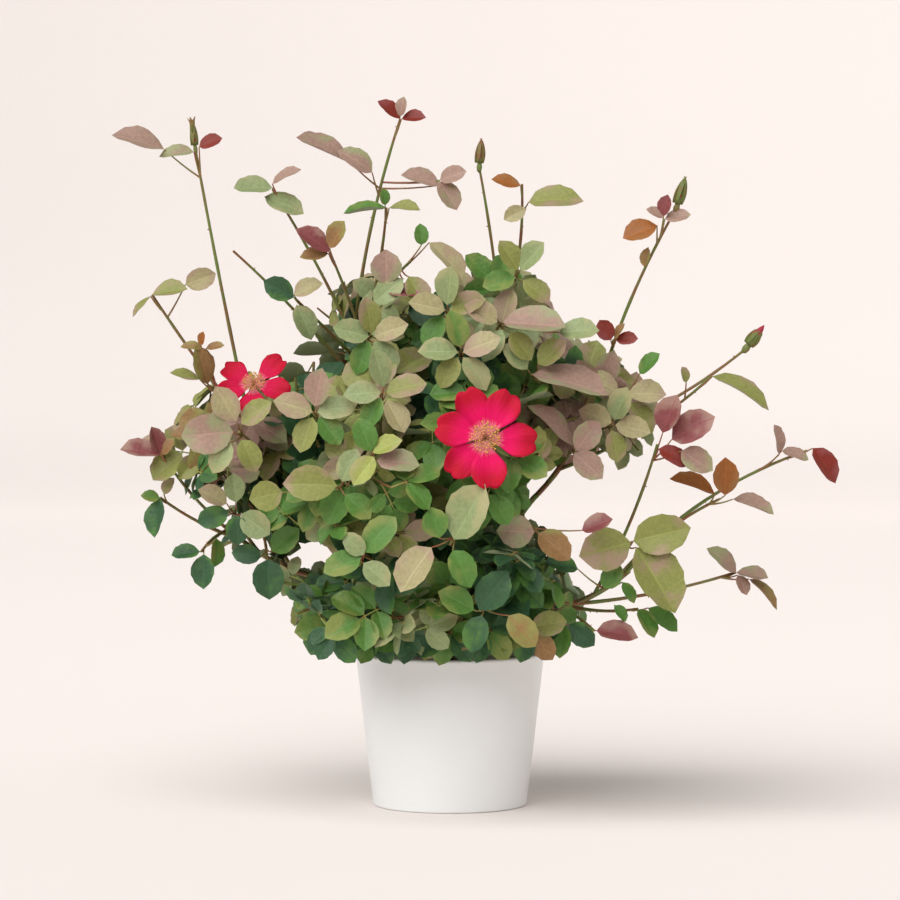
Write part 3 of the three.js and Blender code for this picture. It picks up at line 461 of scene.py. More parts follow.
class Room:
    """Remembers which limb, leaf or bloom holds each small cell of the crown's space."""

    def __init__(self):
        self.low = vec(-0.36, -0.26, 0.08)
        high = vec(0.36, 0.26, 0.62)
        self.owner = np.zeros(np.ceil((high - self.low) / ROOM["cell"]).astype(int), np.int32)
        self.names = {}

    def number(self, name):
        return self.names.setdefault(name, len(self.names) + 1)

    def cells(self, spots):
        places = ((np.atleast_2d(spots) - self.low) / ROOM["cell"]).astype(int)
        return tuple(np.clip(places, 0, np.array(self.owner.shape) - 1).T)

    def take(self, spots, name):
        self.owner[self.cells(spots)] = self.number(name)

    def is_free(self, spots, kin, overlap=0.0):
        held = self.owner[self.cells(spots)]
        taken = held != 0
        for name in kin:
            taken &= held != self.number(name)
        return taken.mean() <= overlap


@dataclass
class Leaf:
    """A compound leaf: its stalk's line and, for each leaflet, root, way, face, length and width."""
    stalk: Path
    leaflets: list
    tint: str = ""
    young: bool = False


@dataclass
class Plant:
    """The grown bush: limbs as lines with their girths, leaves and buds. bearers are each mass's twigs."""
    room: Room = field(default_factory=Room)
    canes: list = field(default_factory=list)
    twigs: list = field(default_factory=list)
    leaves: list = field(default_factory=list)
    buds: list = field(default_factory=list)
    bearers: dict = field(default_factory=dict)

    def add_twig(self, path, root, tip, name, young=False):
        self.twigs.append((path, root, tip, young))
        self.room.take(path.spots(), name)


def depth_in(mass, spots):
    """How deep each spot is in a mass's space: 0 at its centre and 1 on its ellipsoid."""
    return np.linalg.norm((spots - mass.at) / mass.half, axis=-1)


def in_crown(spots):
    """Whether every spot is inside the crown's outline."""
    x, y, z = spots.T
    heights, lefts, rights = np.array(CROWN_EDGES).T
    left, right = np.interp(z, heights, lefts), np.interp(z, heights, rights)
    half = (right - left) / 2 * np.sqrt(np.clip(1 - (y / CROWN_DEPTH) ** 2, 0, 1))
    return bool((np.abs(x - (left + right) / 2) < half).all() and z.max() < heights[-1])


def in_open_air(spots):
    """Whether every spot is above the pot's rim, out of the openings and inside the whole bush's box."""
    x, z = spots[:, 0], spots[:, 2]
    for left, right, foot, top in OPENINGS:
        if ((x > left) & (x < right) & (z > foot) & (z < top)).any():
            return False
    low, high = np.array(CAD_BOX[0]) - ROOM["past_box"], np.array(CAD_BOX[1]) + ROOM["past_box"]
    return bool((z > POT_HIGH.z + ROOM["over_rim"]).all() and (spots > low).all() and (spots < high).all())


def cane_path(mass):
    """A cane leaves the stem towards its mass, rises and arches over to the mass's foot."""
    centre = mass.at
    lean = STEM["lean"]
    heading = unit(vec(centre[0] - lean, centre[1], 0))
    base = vec(lean * mass.lift, 0, STEM_LOW.z + STEM["height"] * mass.lift * CANE_BEND["highest"])
    inward = centre - base
    foot = base + inward * CANE["reach"]
    rise = UP * np.linalg.norm(inward) * CANE["reach"] * CANE["upright"]
    outside = base + heading * STEM["top"] * CANE_BEND["inset"]
    run = heading * CANE["flare"] * (CANE_BEND["steepest"] - mass.lift)
    leaving = outside + run + rise * CANE_BEND["root_rise"]
    arriving = foot - inward * CANE_BEND["tip_run"] + rise * CANE_BEND["tip_rise"]
    return Path(outside, leaving, arriving, foot)


def mass_stem_path(mass, cane):
    """A mass's stem runs on from its cane's tip towards the outside of its space."""
    foot = cane.at(1)
    heading = cane.heading(1)
    start = foot + heading * GAP
    outward = unit(mass.at - foot)
    end = mass.at + outward * min(mass.half) * MASS_STEM["past_middle"]
    middle = start + heading * np.linalg.norm(end - start) * MASS_STEM["straight"]
    return Path(start, middle, end)


def leaflet_spots(root, way, face, length, width):
    """Points over a leaflet, close enough together that no other leaf slips between them."""
    across = np.cross(way, face)
    rows = max(2, math.ceil(length / ROOM["spot"]))
    shares = np.linspace(0.12, 1, rows)
    halves = width / 2 * np.sin(np.pi * np.clip(shares, 0.05, 0.97)) ** 0.7
    middle = root + shares[:, None] * length * way - face * length * 0.1 * (shares**2)[:, None]
    rails = [middle + (side * halves)[:, None] * across for side in (-0.85, -0.4, 0, 0.4, 0.85)]
    return np.concatenate(rails)


def plan_leaf(base, direction, facing, size, leaflets, random):
    """A compound leaf on a twig at base, turned so that its leaflets face the light."""
    form = LEAF_FORMS[leaflets]
    way = unit(direction)
    face = square_to(way, facing)
    reach = form["stalk"] * size
    arch = face * reach * lerp(0.02, 0.16, random())
    stalk = Path(base, base + way * reach * 0.5 + arch, base + way * reach, steps=6)
    parts = [(1.0, 0, 1.0)]
    for share, angle, part in form["pairs"]:
        parts += [(share, angle, part), (share, -angle, part)]
    blades = []
    for share, angle, part in parts:
        length = form["end"] * size * part * lerp(0.92, 1.08, random())
        heading = turned(stalk.heading(share), face, angle + lerp(-7, 7, random()))
        tilted = turned(face, heading, lerp(-16, 16, random()))
        tilted = square_to(heading, tilted)
        root = stalk.at(share) + heading * (0.0012 if angle else 0.0)
        blades.append((root, heading, tilted, length, length * lerp(0.66, 0.76, random())))
    return Leaf(stalk, blades)


def room_for_leaf(plant, leaf, kin, keeps_in):
    """The spots of a leaf that has room, or None."""
    stalk_spots = leaf.stalk.spots()[1:]
    if not plant.room.is_free(stalk_spots, kin, LEAF_ROOM["overlap"]):
        return None
    spots = np.concatenate([leaflet_spots(*blade) for blade in leaf.leaflets])
    if not (keeps_in(spots) and plant.room.is_free(spots, kin, LEAF_ROOM["overlap"])):
        return None
    return np.concatenate((stalk_spots, spots))


def light_at(point, random):
    """The way a leaf's face turns: up, and out from the plant's middle to its front or its back."""
    back = point[1] - LIGHT["ridge"]
    outward = unit(vec(point[0] - LIGHT["middle"], back * LIGHT["depth"], 0))
    climbed = min(1, max(0, (point[2] - POT_HIGH.z) / LIGHT["climb"]))
    up = lerp(LIGHT["up_low"], LIGHT["up_high"], climbed)
    light = UP * up + outward * LIGHT["outward"]
    light[1] += math.copysign(LIGHT["side"], back)
    return light + np.array([(random() - 0.5) * LIGHT["scatter"] for _ in range(3)])


def tint_at(leaf, tint):
    """A leaf's tint, which the accents change on the crown's front."""
    root, way, _, length, _ = leaf.leaflets[0]
    x, y, z = root + way * length / 2
    for at_x, at_z, radius, accent in ACCENTS:
        if y < 0.02 and math.hypot(x - at_x, z - at_z) < radius:
            return accent
    return tint


def spray_tint(mass, place, random):
    """A spray's tint: from the mass's own tints outside, and dark green deep in the crown, as painted shade
    there.
    """
    in_shaded_core = np.linalg.norm((place - SHADED_CORE["middle"]) / SHADED_CORE["half"]) < SHADED_CORE["share"]
    # Painted shade: sprays deep in the crown take dark greens, so that the gaps there look dark.
    tints = ("deep", "deep", "green") if in_shaded_core else mass.tints.split()
    return tints[int(random() * len(tints))]


def grow_leaf(plant, mass, path, share, kin, turn, tint, random, size=1.0, leaflets=0):
    """The first of several leaves at one place that has room. Each try turns it and shrinks it a little."""
    base = path.at(share)
    heading = path.heading(share)
    leaflets = leaflets or (3 if random() < 0.35 else 5)
    size *= lerp(LEAF_ROOM["least"], LEAF_ROOM["largest"], random())
    form = LEAF_FORMS[leaflets]

    def keeps_in(spots):
        return depth_in(mass, spots).max() < SPILL and in_crown(spots) and in_open_air(spots)

    for attempt in range(LEAF_ROOM["tries"]):
        side = turned_about(heading, turn + attempt * GOLDEN_ANGLE)
        opening = math.radians(LEAF_ROOM["angle"] + LEAF_ROOM["angle_range"] * (random() - 0.5))
        direction = side * math.sin(opening) + heading * math.cos(opening)
        shrunk = size * lerp(1, LEAF_ROOM["smallest"], attempt / LEAF_ROOM["tries"])
        reach = vec(0.5, 1) * (form["stalk"] + form["end"] * 0.9) * shrunk
        if not keeps_in(base + reach[:, None] * direction):
            continue
        leaf = plan_leaf(base, direction, light_at(base, random), shrunk, leaflets, random)
        spots = room_for_leaf(plant, leaf, kin, keeps_in)
        if spots is None:
            continue
        plant.room.take(spots, f"leaf_{len(plant.leaves)}")
        leaf.tint = tint_at(leaf, tint)
        plant.leaves.append(leaf)
        return


def first_free(plant, paths, kin):
    for path in paths:
        if plant.room.is_free(path.spots()[ROOM["root_spots"]:], kin):
            return path
    return None


def blade_leaf(tip, outward, path, blade):
    """A leaflet that stands by itself on a long shoot. It is turned about its own length until it looks as
    broad from the front or the back as its blade says."""
    across, up, way, length, breadth, tint = blade
    heading = unit(seen_way(way, outward, BLADE["forward"]))
    foot = tip + vec(-outward * across, outward * BLADE["before"], up) * MM
    width = max(length * BLADE["broad"], breadth) * MM
    edge_on = math.acos(min(1, breadth * MM / width))
    front = square_to(heading, vec(0, outward, 0.0))
    above = square_to(heading, UP + 0.2 * front)
    above = square_to(front, above)
    face = square_to(heading, front * math.cos(edge_on) + above * math.sin(edge_on))
    nearest = np.argmin(np.linalg.norm(path.points - foot, axis=1)) / (len(path.points) - 1)
    joint = path.at(max(0, nearest - BLADE["stalk_back"]))
    stalk = Path(joint, (joint + foot) / 2 - UP * BLADE["stalk_sag"] * MM, foot, steps=6)
    return Leaf(stalk, [(foot, heading, face, length * MM, width)], tint, young=True)


def grow_leader(plant, number, leader, stems):
    """A long shoot with its bud and its leaves."""
    mass, stem = stems[leader.mass]
    name = f"{mass.name}_leader_{number}"
    random = seeded(name)
    base = stem.at(leader.start)
    tip = np.array(leader.tip)
    span = tip - base
    aside = unit(vec(-span[2], 0, span[0]))
    paths = [Path(base, base + span * 0.5 + aside * (leader.bow + extra), tip) for extra in LEADER_BOWS]
    path = first_free(plant, paths, (mass.name, f"cane_{mass.name}", name)) or paths[0]
    plant.add_twig(path, TWIG["root"] * 0.85, TWIG["tip"], name, young=True)
    outward = 1 if tip[1] > 0 else -1
    if leader.bud:
        way, length, opened = leader.bud
        plant.buds.append((tip, seen_way(way), length * MM, opened))
    for blade in leader.blades:
        leaf = blade_leaf(tip, outward, path, blade)
        spots = leaflet_spots(*leaf.leaflets[0])
        for clear in BLADE["clear"]:
            plant.room.take(spots + vec(0, outward * clear, 0), name)
        plant.leaves.append(leaf)
    tilt = math.radians(LEADER["tilt"])
    facing = vec(0, outward * math.cos(tilt), math.sin(tilt))
    tints = leader.tints.split()
    for k, angle in enumerate(leader.points):
        place = path.at(1 - k * LEADER["leaf_step"] / path.length)
        points = seen_way(angle, outward, LEADER["forward"])
        leaf = plan_leaf(place, points, facing, LEADER["tip_size"] if k == 0 else 1, 5 if k else 3, random)
        plant.room.take(np.concatenate([leaflet_spots(*part) for part in leaf.leaflets]), name)
        leaf.tint = tints[k % len(tints)]
        leaf.young = True
        plant.leaves.append(leaf)


def grow_shoot(plant, mass, stem, place, random):
    """A shoot from the mass's stem towards its outside, with side twigs, and leaves from its tip down."""
    name = f"{mass.name}_shoot_{place}"
    base = stem.at(lerp(SHOOT["lowest"], SHOOT["highest"], (place + 1) / mass.shoots))
    turn = 360 * random()
    height = 1 - 2 * (place + 0.5) / mass.shoots
    across = math.sqrt(1 - height * height)
    paths = []
    for reach in SHOOT["reaches"]:
        for attempt in range(SHOOT["tries"]):
            angle = math.radians(turn + (place + attempt * SHOOT["try_turn"]) * GOLDEN_ANGLE)
            way = vec(across * math.cos(angle), across * math.sin(angle), height)
            target = mass.at + way * mass.half * reach
            span = target - base
            middle = base + span * TWIG["bend"] + UP * np.linalg.norm(span) * TWIG["rise"]
            path = Path(base, middle, target)
            if in_crown(path.spots()) and in_open_air(path.spots()):
                paths.append(path)
    path = first_free(plant, paths, (mass.name, f"cane_{mass.name}", name))
    if path is None:
        return
    plant.add_twig(path, TWIG["root"], TWIG["tip"], name)
    plant.bearers[mass.name].append((path, (name,)))
    tint = spray_tint(mass, path.at(1), random)
    leaves = max(3, round(path.length / SHOOT["leaf_step"]))
    for k in range(leaves):
        share = lerp(1, SHOOT["last_leaf"], k / (leaves - 1))
        grow_leaf(plant, mass, path, share, (name,), turn + k * GOLDEN_ANGLE, tint, random)
    for k, share in enumerate(SIDE_TWIG["places"]):
        grow_side_twig(plant, mass, path, share, name, k, turn, random)


def grow_side_twig(plant, mass, path, share, parent, k, turn, random):
    """A short twig off a shoot, with a leaf at its tip and two below it."""
    heading = path.heading(share)
    side = turned_about(heading, turn + (k + 0.5) * SIDE_TWIG["apart"])
    opening = math.radians(SIDE_TWIG["opening"])
    direction = side * math.sin(opening) + heading * math.cos(opening)
    start = path.at(share)
    length = SIDE_TWIG["length"] * lerp(0.7, 1.2, random())
    end = start + direction * length + UP * length * TWIG["rise"]
    twig = Path(start, start + direction * length * 0.5, end, steps=8)
    name = f"{parent}_side_{k}"
    kin = (parent, name)
    spots = twig.spots()
    inside = in_crown(spots) and in_open_air(spots) and depth_in(mass, twig.at(1)) < SIDE_TWIG["deepest"]
    if not (inside and plant.room.is_free(spots[ROOM["root_spots"]:], kin)):
        return
    plant.add_twig(twig, SIDE_TWIG["root"], SIDE_TWIG["tip"], name)
    plant.bearers[mass.name].append((twig, kin))
    tint = spray_tint(mass, twig.at(1), random)
    for place in SIDE_TWIG["leaves"]:
        grow_leaf(plant, mass, twig, place, kin, turn, tint, random, SIDE_TWIG["leaf_size"])
        turn += GOLDEN_ANGLE


def fill_mass(plant, mass, random):
    """One more leaf on each twig of a mass, where there is still room."""
    for path, kin in plant.bearers[mass.name]:
        share = lerp(0.15, 1, random())
        tint = spray_tint(mass, path.at(share), random)
        size = lerp(FILLING["least"], FILLING["largest"], random())
        grow_leaf(plant, mass, path, share, kin, 360 * random(), tint, random, size, leaflets=3)


def grow_bloom_stalk(plant, bloom, stems):
    """A bloom's stalk, and the room of its petals and of what lies before its face."""
    _, carrier = stems[bloom.mass]
    face = bloom.face
    centre = bloom.at
    start = carrier.at(1)
    span = np.linalg.norm(centre - start)
    leaving = start + carrier.heading(1) * span * 0.3
    stalk = Path(start, leaving, centre - face * span * 0.4, centre - face * 0.004)
    plant.add_twig(stalk, 0.0017, 0.0013, bloom.name)
    radius = BLOOM_RADIUS * bloom.size
    for ring in np.arange(0, radius + 0.001, ROOM["spot"]):
        for angle in np.arange(0, 360, 180 * ROOM["spot"] / (math.pi * max(ring, ROOM["spot"]))):
            edge = centre + turned_about(face, angle) * ring
            plant.room.take(np.array([edge + face * depth for depth in BLOOM_ROOM]), bloom.name)


def grow_plant():
    """Grows the whole bush: canes, mass stems, blooms, long shoots and then the filling shoots."""
    plant = Plant()
    stems = {}
    for mass in MASSES:
        cane = cane_path(mass)
        plant.canes.append((cane, mass))
        plant.room.take(cane.spots(), f"cane_{mass.name}")
    for cane, mass in plant.canes:
        stem = mass_stem_path(mass, cane)
        stems[mass.name] = (mass, stem)
        plant.bearers[mass.name] = [(stem, (mass.name,))]
        plant.add_twig(stem, CANE["tip"], TWIG["root"], mass.name)
    for bloom in BLOOMS:
        grow_bloom_stalk(plant, bloom, stems)
    for number, leader in enumerate(LEADERS):
        grow_leader(plant, number, leader, stems)
    randoms = {mass.name: seeded(mass.name) for mass in MASSES}
    for place in range(max(mass.shoots for mass in MASSES)):
        for mass, stem in stems.values():
            if place < mass.shoots:
                grow_shoot(plant, mass, stem, place, randoms[mass.name])
    for _ in range(FILLING["rounds"]):
        for mass in MASSES:
            fill_mass(plant, mass, randoms[mass.name])
    return plant


GROWN = {}


def grown_plant():
    """The plant, grown once for all the operators."""
    if "plant" not in GROWN:
        GROWN["plant"] = grow_plant()
    return GROWN["plant"]


# ------------ nodes


def socket_of(sockets, key):
    """A node's socket by its place, its identifier or its name."""
    if isinstance(key, int):
        return sockets[key]
    for socket in sockets:
        if socket.identifier == key:
            return socket
    return sockets[key]


class Wire:
    """A node's output. Arithmetic on it adds Math nodes."""

    def __init__(self, board, socket):
        self.board = board
        self.socket = socket

    def maths(self, operation, first, second):
        return self.board.node("ShaderNodeMath", {"operation": operation}, {0: first, 1: second})

    def __add__(self, other):
        return self.maths("ADD", self, other)

    def __sub__(self, other):
        return self.maths("SUBTRACT", self, other)

    def __rsub__(self, other):
        return self.maths("SUBTRACT", other, self)

    def __mul__(self, other):
        return self.maths("MULTIPLY", self, other)

    __radd__ = __add__
    __rmul__ = __mul__


class Board:
    """The nodes of one material or of one geometry recipe."""

    def __init__(self, tree):
        self.tree = tree
        tree.nodes.clear()

    def node(self, kind, settings=None, values=None, result=0):
        made = self.tree.nodes.new(kind)
        for name, value in (settings or {}).items():
            if name == "stops":
                self.set_stops(made.color_ramp, value)
            else:
                setattr(made, name, value)
        for key, value in (values or {}).items():
            target = socket_of(made.inputs, key)
            if isinstance(value, Wire):
                self.tree.links.new(value.socket, target)
            else:
                target.default_value = value
        return Wire(self, socket_of(made.outputs, result)) if len(made.outputs) else made

    def set_stops(self, ramp, stops):
        while len(ramp.elements) < len(stops):
            ramp.elements.new(1)
        for element, (position, colour) in zip(ramp.elements, stops):
            element.position = position
            element.color = (*colour, 1)


class Finish(Board):
    """A material. What changes over its surface comes through nodes, and the rest is set on the shader."""

    def __init__(self, name, **constants):
        self.material = bpy.data.materials.new(name)
        self.material.use_nodes = True
        super().__init__(self.material.node_tree)
        self.shader = self.tree.nodes.new("ShaderNodeBsdfPrincipled")
        for socket, value in constants.items():
            self.shader.inputs[socket.replace("_", " ")].default_value = value
        self.node("ShaderNodeOutputMaterial", values={"Surface": Wire(self, self.shader.outputs["BSDF"])})
        self.place = self.node("ShaderNodeTexCoord", result="Object")

    def feed(self, socket, wire):
        self.tree.links.new(wire.socket, self.shader.inputs[socket])

    def noise(self, scale, detail=3, place=None):
        values = {"Vector": place or self.place, "Scale": scale, "Detail": detail}
        return self.node("ShaderNodeTexNoise", values=values, result="Fac")

    def stretched(self, factors, place=None):
        return self.node("ShaderNodeMapping", values={"Vector": place or self.place, "Scale": factors})

    def ramp(self, share, *stops):
        return self.node("ShaderNodeValToRGB", {"stops": stops}, {"Fac": share}, "Color")

    def mix(self, share, first, second):
        values = {"Factor_Float": share}
        for key, colour in (("A_Color", first), ("B_Color", second)):
            values[key] = colour if isinstance(colour, Wire) else (*colour, 1)
        return self.node("ShaderNodeMix", {"data_type": "RGBA"}, values, "Result_Color")

    def step(self, value, low, high):
        """0 where a value is under low, 1 over high and smooth between them."""
        values = {"Value": value, "From Min": low, "From Max": high}
        return self.node("ShaderNodeMapRange", {"interpolation_type": "SMOOTHSTEP"}, values)

    def bumped(self, height, distance):
        self.feed("Normal", self.node("ShaderNodeBump", values={"Height": height, "Distance": distance}))


def mottled_finish(name, first, second, scale, detail=2, bump=0, **constants):
    """Two colours that mingle in small clouds."""
    finish = Finish(name, **constants)
    grain = finish.noise(scale, detail)
    finish.feed("Base Color", finish.mix(grain, first, second))
    if bump:
        finish.bumped(grain, bump)
    return finish.material


READ_BY_RECIPES = {"turn", "stretch", "shape", "layer", "girth"}


class Recipe(Board):
    """A geometry tree with named inputs. It runs once on a host mesh and leaves a plain mesh."""

    def __init__(self, name, inputs):
        tree = bpy.data.node_groups.new(name, "GeometryNodeTree")
        super().__init__(tree)
        tree.interface.new_socket("Geometry", in_out="INPUT", socket_type="NodeSocketGeometry")
        self.identifiers = {}
        for label, kind in inputs.items():
            item = tree.interface.new_socket(label, in_out="INPUT", socket_type="NodeSocket" + kind)
            self.identifiers[label] = item.identifier
        tree.interface.new_socket("Geometry", in_out="OUTPUT", socket_type="NodeSocketGeometry")
        self.entry = tree.nodes.new("NodeGroupInput")

    def given(self, label):
        return Wire(self, self.entry.outputs[label])

    def attribute(self, name, kind):
        return self.node("GeometryNodeInputNamedAttribute", {"data_type": kind}, {"Name": name}, "Attribute")

    def painted(self, geometry, label, selection=None):
        values = {"Geometry": geometry, "Material": self.given(label)}
        if selection is not None:
            values["Selection"] = selection
        return self.node("GeometryNodeSetMaterial", values=values)

    def copies(self, points, label, values):
        """A shape of the collection with this label at each point, as real geometry."""
        shapes = self.node("GeometryNodeCollectionInfo", values={
            "Collection": self.given(label), "Separate Children": True, "Reset Children": True})
        instances = self.node("GeometryNodeInstanceOnPoints", values={
            "Points": points, "Instance": shapes, "Pick Instance": True, **values})
        return self.node("GeometryNodeRealizeInstances", values={"Geometry": instances})

    def finish(self, geometry):
        self.node("NodeGroupOutput", values={0: geometry})

    def run(self, host, name, values):
        """The recipe's result on a host object, as a new piece. The host is removed."""
        modifier = host.modifiers.new("recipe", "NODES")
        modifier.node_group = self.tree
        for label, value in values.items():
            modifier[self.identifiers[label]] = value
        bpy.context.view_layer.update()
        depsgraph = bpy.context.evaluated_depsgraph_get()
        evaluated = host.evaluated_get(depsgraph)
        mesh = bpy.data.meshes.new_from_object(evaluated, preserve_all_data_layers=True, depsgraph=depsgraph)
        host.modifiers.remove(modifier)
        bpy.data.objects.remove(host)
        for label in READ_BY_RECIPES & set(mesh.attributes.keys()):
            mesh.attributes.remove(mesh.attributes[label])
        if not len(mesh.polygons):
            raise RuntimeError(f"the recipe for {name} made no faces")
        return add_object(name, mesh)


# ------------ meshes


def add_object(name, mesh, collection=None):
    mesh.name = name
    made = bpy.data.objects.new(name, mesh)
    (collection or bpy.context.scene.collection).objects.link(made)
    return made


def mesh_of(name, points, faces, materials=(), layers=None, smooth=True):
    """A mesh from points and faces. layers gives each face of a repeated shape its layer."""
    mesh = bpy.data.meshes.new(name)
    mesh.from_pydata([tuple(p) for p in points], [], [tuple(f) for f in faces])
    for material in materials:
        mesh.materials.append(material)
    if layers is not None:
        mesh.attributes.new("layer", "INT", "FACE").data.foreach_set("value", layers)
    mesh.polygons.foreach_set("use_smooth", [smooth] * len(mesh.polygons))
    mesh.update()
    return mesh


def dotted(name, points, edges=(), **attributes):
    """A host mesh of loose points, or lines, with attributes that a recipe reads."""
    mesh = bpy.data.meshes.new(name)
    mesh.from_pydata([tuple(p) for p in points], [tuple(e) for e in edges], [])
    for label, values in attributes.items():
        values = np.array(values)
        kind, key = ("FLOAT_VECTOR", "vector") if values.ndim == 2 else ("FLOAT", "value")
        if values.dtype.kind == "i":
            kind = "INT"
        mesh.attributes.new(label, kind, "POINT").data.foreach_set(key, values.ravel())
    return add_object(name, mesh)


def bands(loops):
    """The faces between each loop of corners and the next. A pole is a loop of one corner repeated."""
    faces = []
    for lower, upper in zip(loops, loops[1:]):
        for side in range(len(lower)):
            after = (side + 1) % len(lower)
            faces.append(tuple(dict.fromkeys((lower[side], lower[after], upper[after], upper[side]))))
    return faces


def shell(faces, rim, size):
    """The faces of a thin closed shell: the upper skin's, the lower skin's, whose points come size later and
    whose faces are turned over, and the wall along the rim."""
    under = [tuple(corner + size for corner in reversed(face)) for face in faces]
    wall = [(here, after, after + size, here + size) for here, after in zip(rim, rim[1:] + rim[:1])]
    return faces + under + wall


def revolved(profile, sides, wobble=None):
    """Points and faces of a profile of (radius, height) turned about +Z. Radius 0 makes a pole."""
    points, loops = [], []
    for row, (radius, height) in enumerate(profile):
        if radius == 0:
            loops.append([len(points)] * sides)
            points.append((0, 0, height))
            continue
        loops.append(range(len(points), len(points) + sides))
        for side in range(sides):
            angle = 2 * math.pi * side / sides
            grown = radius * (wobble(row, angle) if wobble else 1)
            points.append((grown * math.cos(angle), grown * math.sin(angle), height))
    return points, bands(loops)


def tube(path, rings, sides, girth):
    """Points and faces of a closed tube round a path. girth(share, angle) is its radius there."""
    shares = np.linspace(0, 1, rings + 1)
    across = square_to(path.heading(0), vec(0.2, 0.3, 1.0))
    points, loops = [], []
    for centre, share in zip(path.at(shares), shares):
        heading = path.heading(share)
        across = square_to(heading, across)
        over = np.cross(heading, across)
        loops.append(range(len(points), len(points) + sides))
        for side in range(sides):
            angle = 2 * math.pi * side / sides
            points.append(centre + (across * math.cos(angle) + over * math.sin(angle)) * girth(share, angle))
    return points, [*bands(loops), tuple(reversed(loops[0])), tuple(loops[-1])]


def joined(parts):
    """Several (points, faces) as one."""
    points, faces = [], []
    for more_points, more_faces in parts:
        start = len(points)
        points.extend(more_points)
        faces.extend(tuple(corner + start for corner in face) for face in more_faces)
    return points, faces


def placed(piece, slot, *nodes):
    """The frame's calls for a finished piece."""
    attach(piece, "root")
    if nodes:
        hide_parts(*nodes)
    return piece


def add_piece(name, shape, material, slot, *nodes):
    """A finished piece from a shape's points and faces."""
    return placed(add_object(name, mesh_of(name, *shape, [material])), slot, *nodes)


def turn_of(way, face):
    """The turn that takes +Y to way and +Z to face, as Euler angles."""
    across = np.cross(way, face)
    return tuple(Matrix(np.stack((across, way, face), axis=1).tolist()).to_euler())


# ------------ settings


def number_setting(name, description, default, **kind):
    return FloatProperty(name=name, description=description, default=default, **kind)


def length_setting(name, description, default):
    return number_setting(name, description, default, unit="LENGTH", subtype="DISTANCE")


def colour_setting(name, description, code):
    return FloatVectorProperty(name=name, description=description, default=linear(code), subtype="COLOR")


def tint(name, code):
    return colour_setting(name, f"Colour of the {name.lower()} leaves", code)


class PotSettings(bpy.types.PropertyGroup):
    """The pot's and the compost's sizes and colours."""
    rim: length_setting("Rim Radius", "Radius at the pot's rim", POT_HIGH.x)
    foot: length_setting("Foot Radius", "Radius at the pot's foot", 0.061)
    wall: length_setting("Wall", "Thickness of the pot's wall", 0.004)
    glaze: colour_setting("Glaze", "Colour of the pot", 0xF3F6F6)
    compost: colour_setting("Compost", "Colour of damp compost", 0x2E2118)
    crumbs: number_setting("Crumbs", "Crumbs on each square metre of compost", 65000)


class LimbSettings(bpy.types.PropertyGroup):
    """The limbs' relief, colours and prickles."""
    relief: length_setting("Relief", "Depth of the bark's relief", 0.00045)
    bark: colour_setting("Bark", "Colour of old bark", 0x6E5B40)
    green: colour_setting("Green Bark", "Colour of young bark", 0x6F7F3E)
    flush: colour_setting("Flush", "Colour of sunlit young bark", 0x8A5A3C)
    prickle: length_setting("Prickle Length", "Length of a prickle", 0.0036)


class LeafSettings(bpy.types.PropertyGroup):
    """The leaves' size and tints."""
    size: number_setting("Leaflet Size", "Scale of every leaflet", 1.0, subtype="FACTOR")
    grey: tint("Grey Green", 0x95A370)
    sage: tint("Sage", 0xB1A77B)
    olive: tint("Olive", 0x919550)
    lime: tint("Lime", 0xA6AE5A)
    green: tint("Green", 0x5A8639)
    # Deep green is both the colour of dark leaves and painted shade for the sprays deep in the crown.
    deep: tint("Deep Green", 0x365C3A)
    bronze: tint("Bronze", 0x997449)
    rosy: tint("Rosy", 0xAC8C7C)
    wine: tint("Wine", 0x8C4B4B)
    rust: tint("Rust", 0xA06026)
    red: tint("Red", 0x862E20)


# Each tint, with the one that clouds its blades.
BLUSHES = {"grey": "sage", "sage": "rosy", "olive": "rosy", "lime": "sage", "green": "olive", "deep": "green",
           "bronze": "olive", "rosy": "grey", "wine": "rosy", "rust": "bronze", "red": "wine"}
# The record's slot of each tint's piece, where it isn't olive.
TINT_SLOTS = {"green": "green", "deep": "green",
              **dict.fromkeys(("bronze", "rosy", "wine", "rust", "red"), "bronze")}


class BloomSettings(bpy.types.PropertyGroup):
    """The blooms' sizes and colours."""
    width: number_setting("Petal Width", "Width of a petal as a share of its length", 0.69)
    stamens: IntProperty(name="Stamens", description="Stamens in each bloom", default=96, min=1)
    crimson: colour_setting("Crimson", "Colour of the petals' outer part", 0xC00E30)
    magenta: colour_setting("Magenta", "Colour of the petals' middle", 0xE4065C)
    eye: colour_setting("Eye", "Colour of the petals' foot", 0xF09AA8)


class StageSettings(bpy.types.PropertyGroup):
    """The camera, the light and the floor."""
    lens: number_setting("Lens", "Focal length in millimetres", 150.0)
    across: length_setting("View Width", "Width that the camera sees at the bush", 0.7137)
    height: length_setting("Aim Height", "Height that the camera aims at", 0.2815)
    rise: number_setting("Camera Rise", "Camera's angle above the level", math.radians(2), unit="ROTATION",
                         subtype="ANGLE")
    floor: colour_setting("Floor", "Colour of the floor", 0xFBF2ED)


# ------------ pot and compost

POT = {"floor": 0.006, "edge": 0.0016, "lip": 0.004, "sides": 128}
COMPOST = {"clear": 0.0004, "crown": 0.0028, "sink": 0.0012, "shoulder": 0.004, "rings": 26, "sides": 96,
           "lumps": 150, "lump_reach": (0.003, 0.009), "lump_rise": (-0.0016, 0.0012)}
CRUMB = {"size": 0.0009, "shapes": 5, "sides": 5, "rough": (0.6, 1.2), "bed": 0.007, "bed_share": 0.96}


def glaze_finish(colour):
    finish = Finish("pot_glaze", Roughness=0.32, Coat_Weight=0.15, Coat_Roughness=0.25)
    cloud = finish.noise(28, 4)
    finish.feed("Base Color", finish.mix(cloud, colour, shaded(colour, 0.965)))
    finish.feed("Roughness", finish.noise(60, 2) * 0.1 + 0.3)
    finish.bumped(finish.noise(90, 2), 0.00012)
    return finish.material


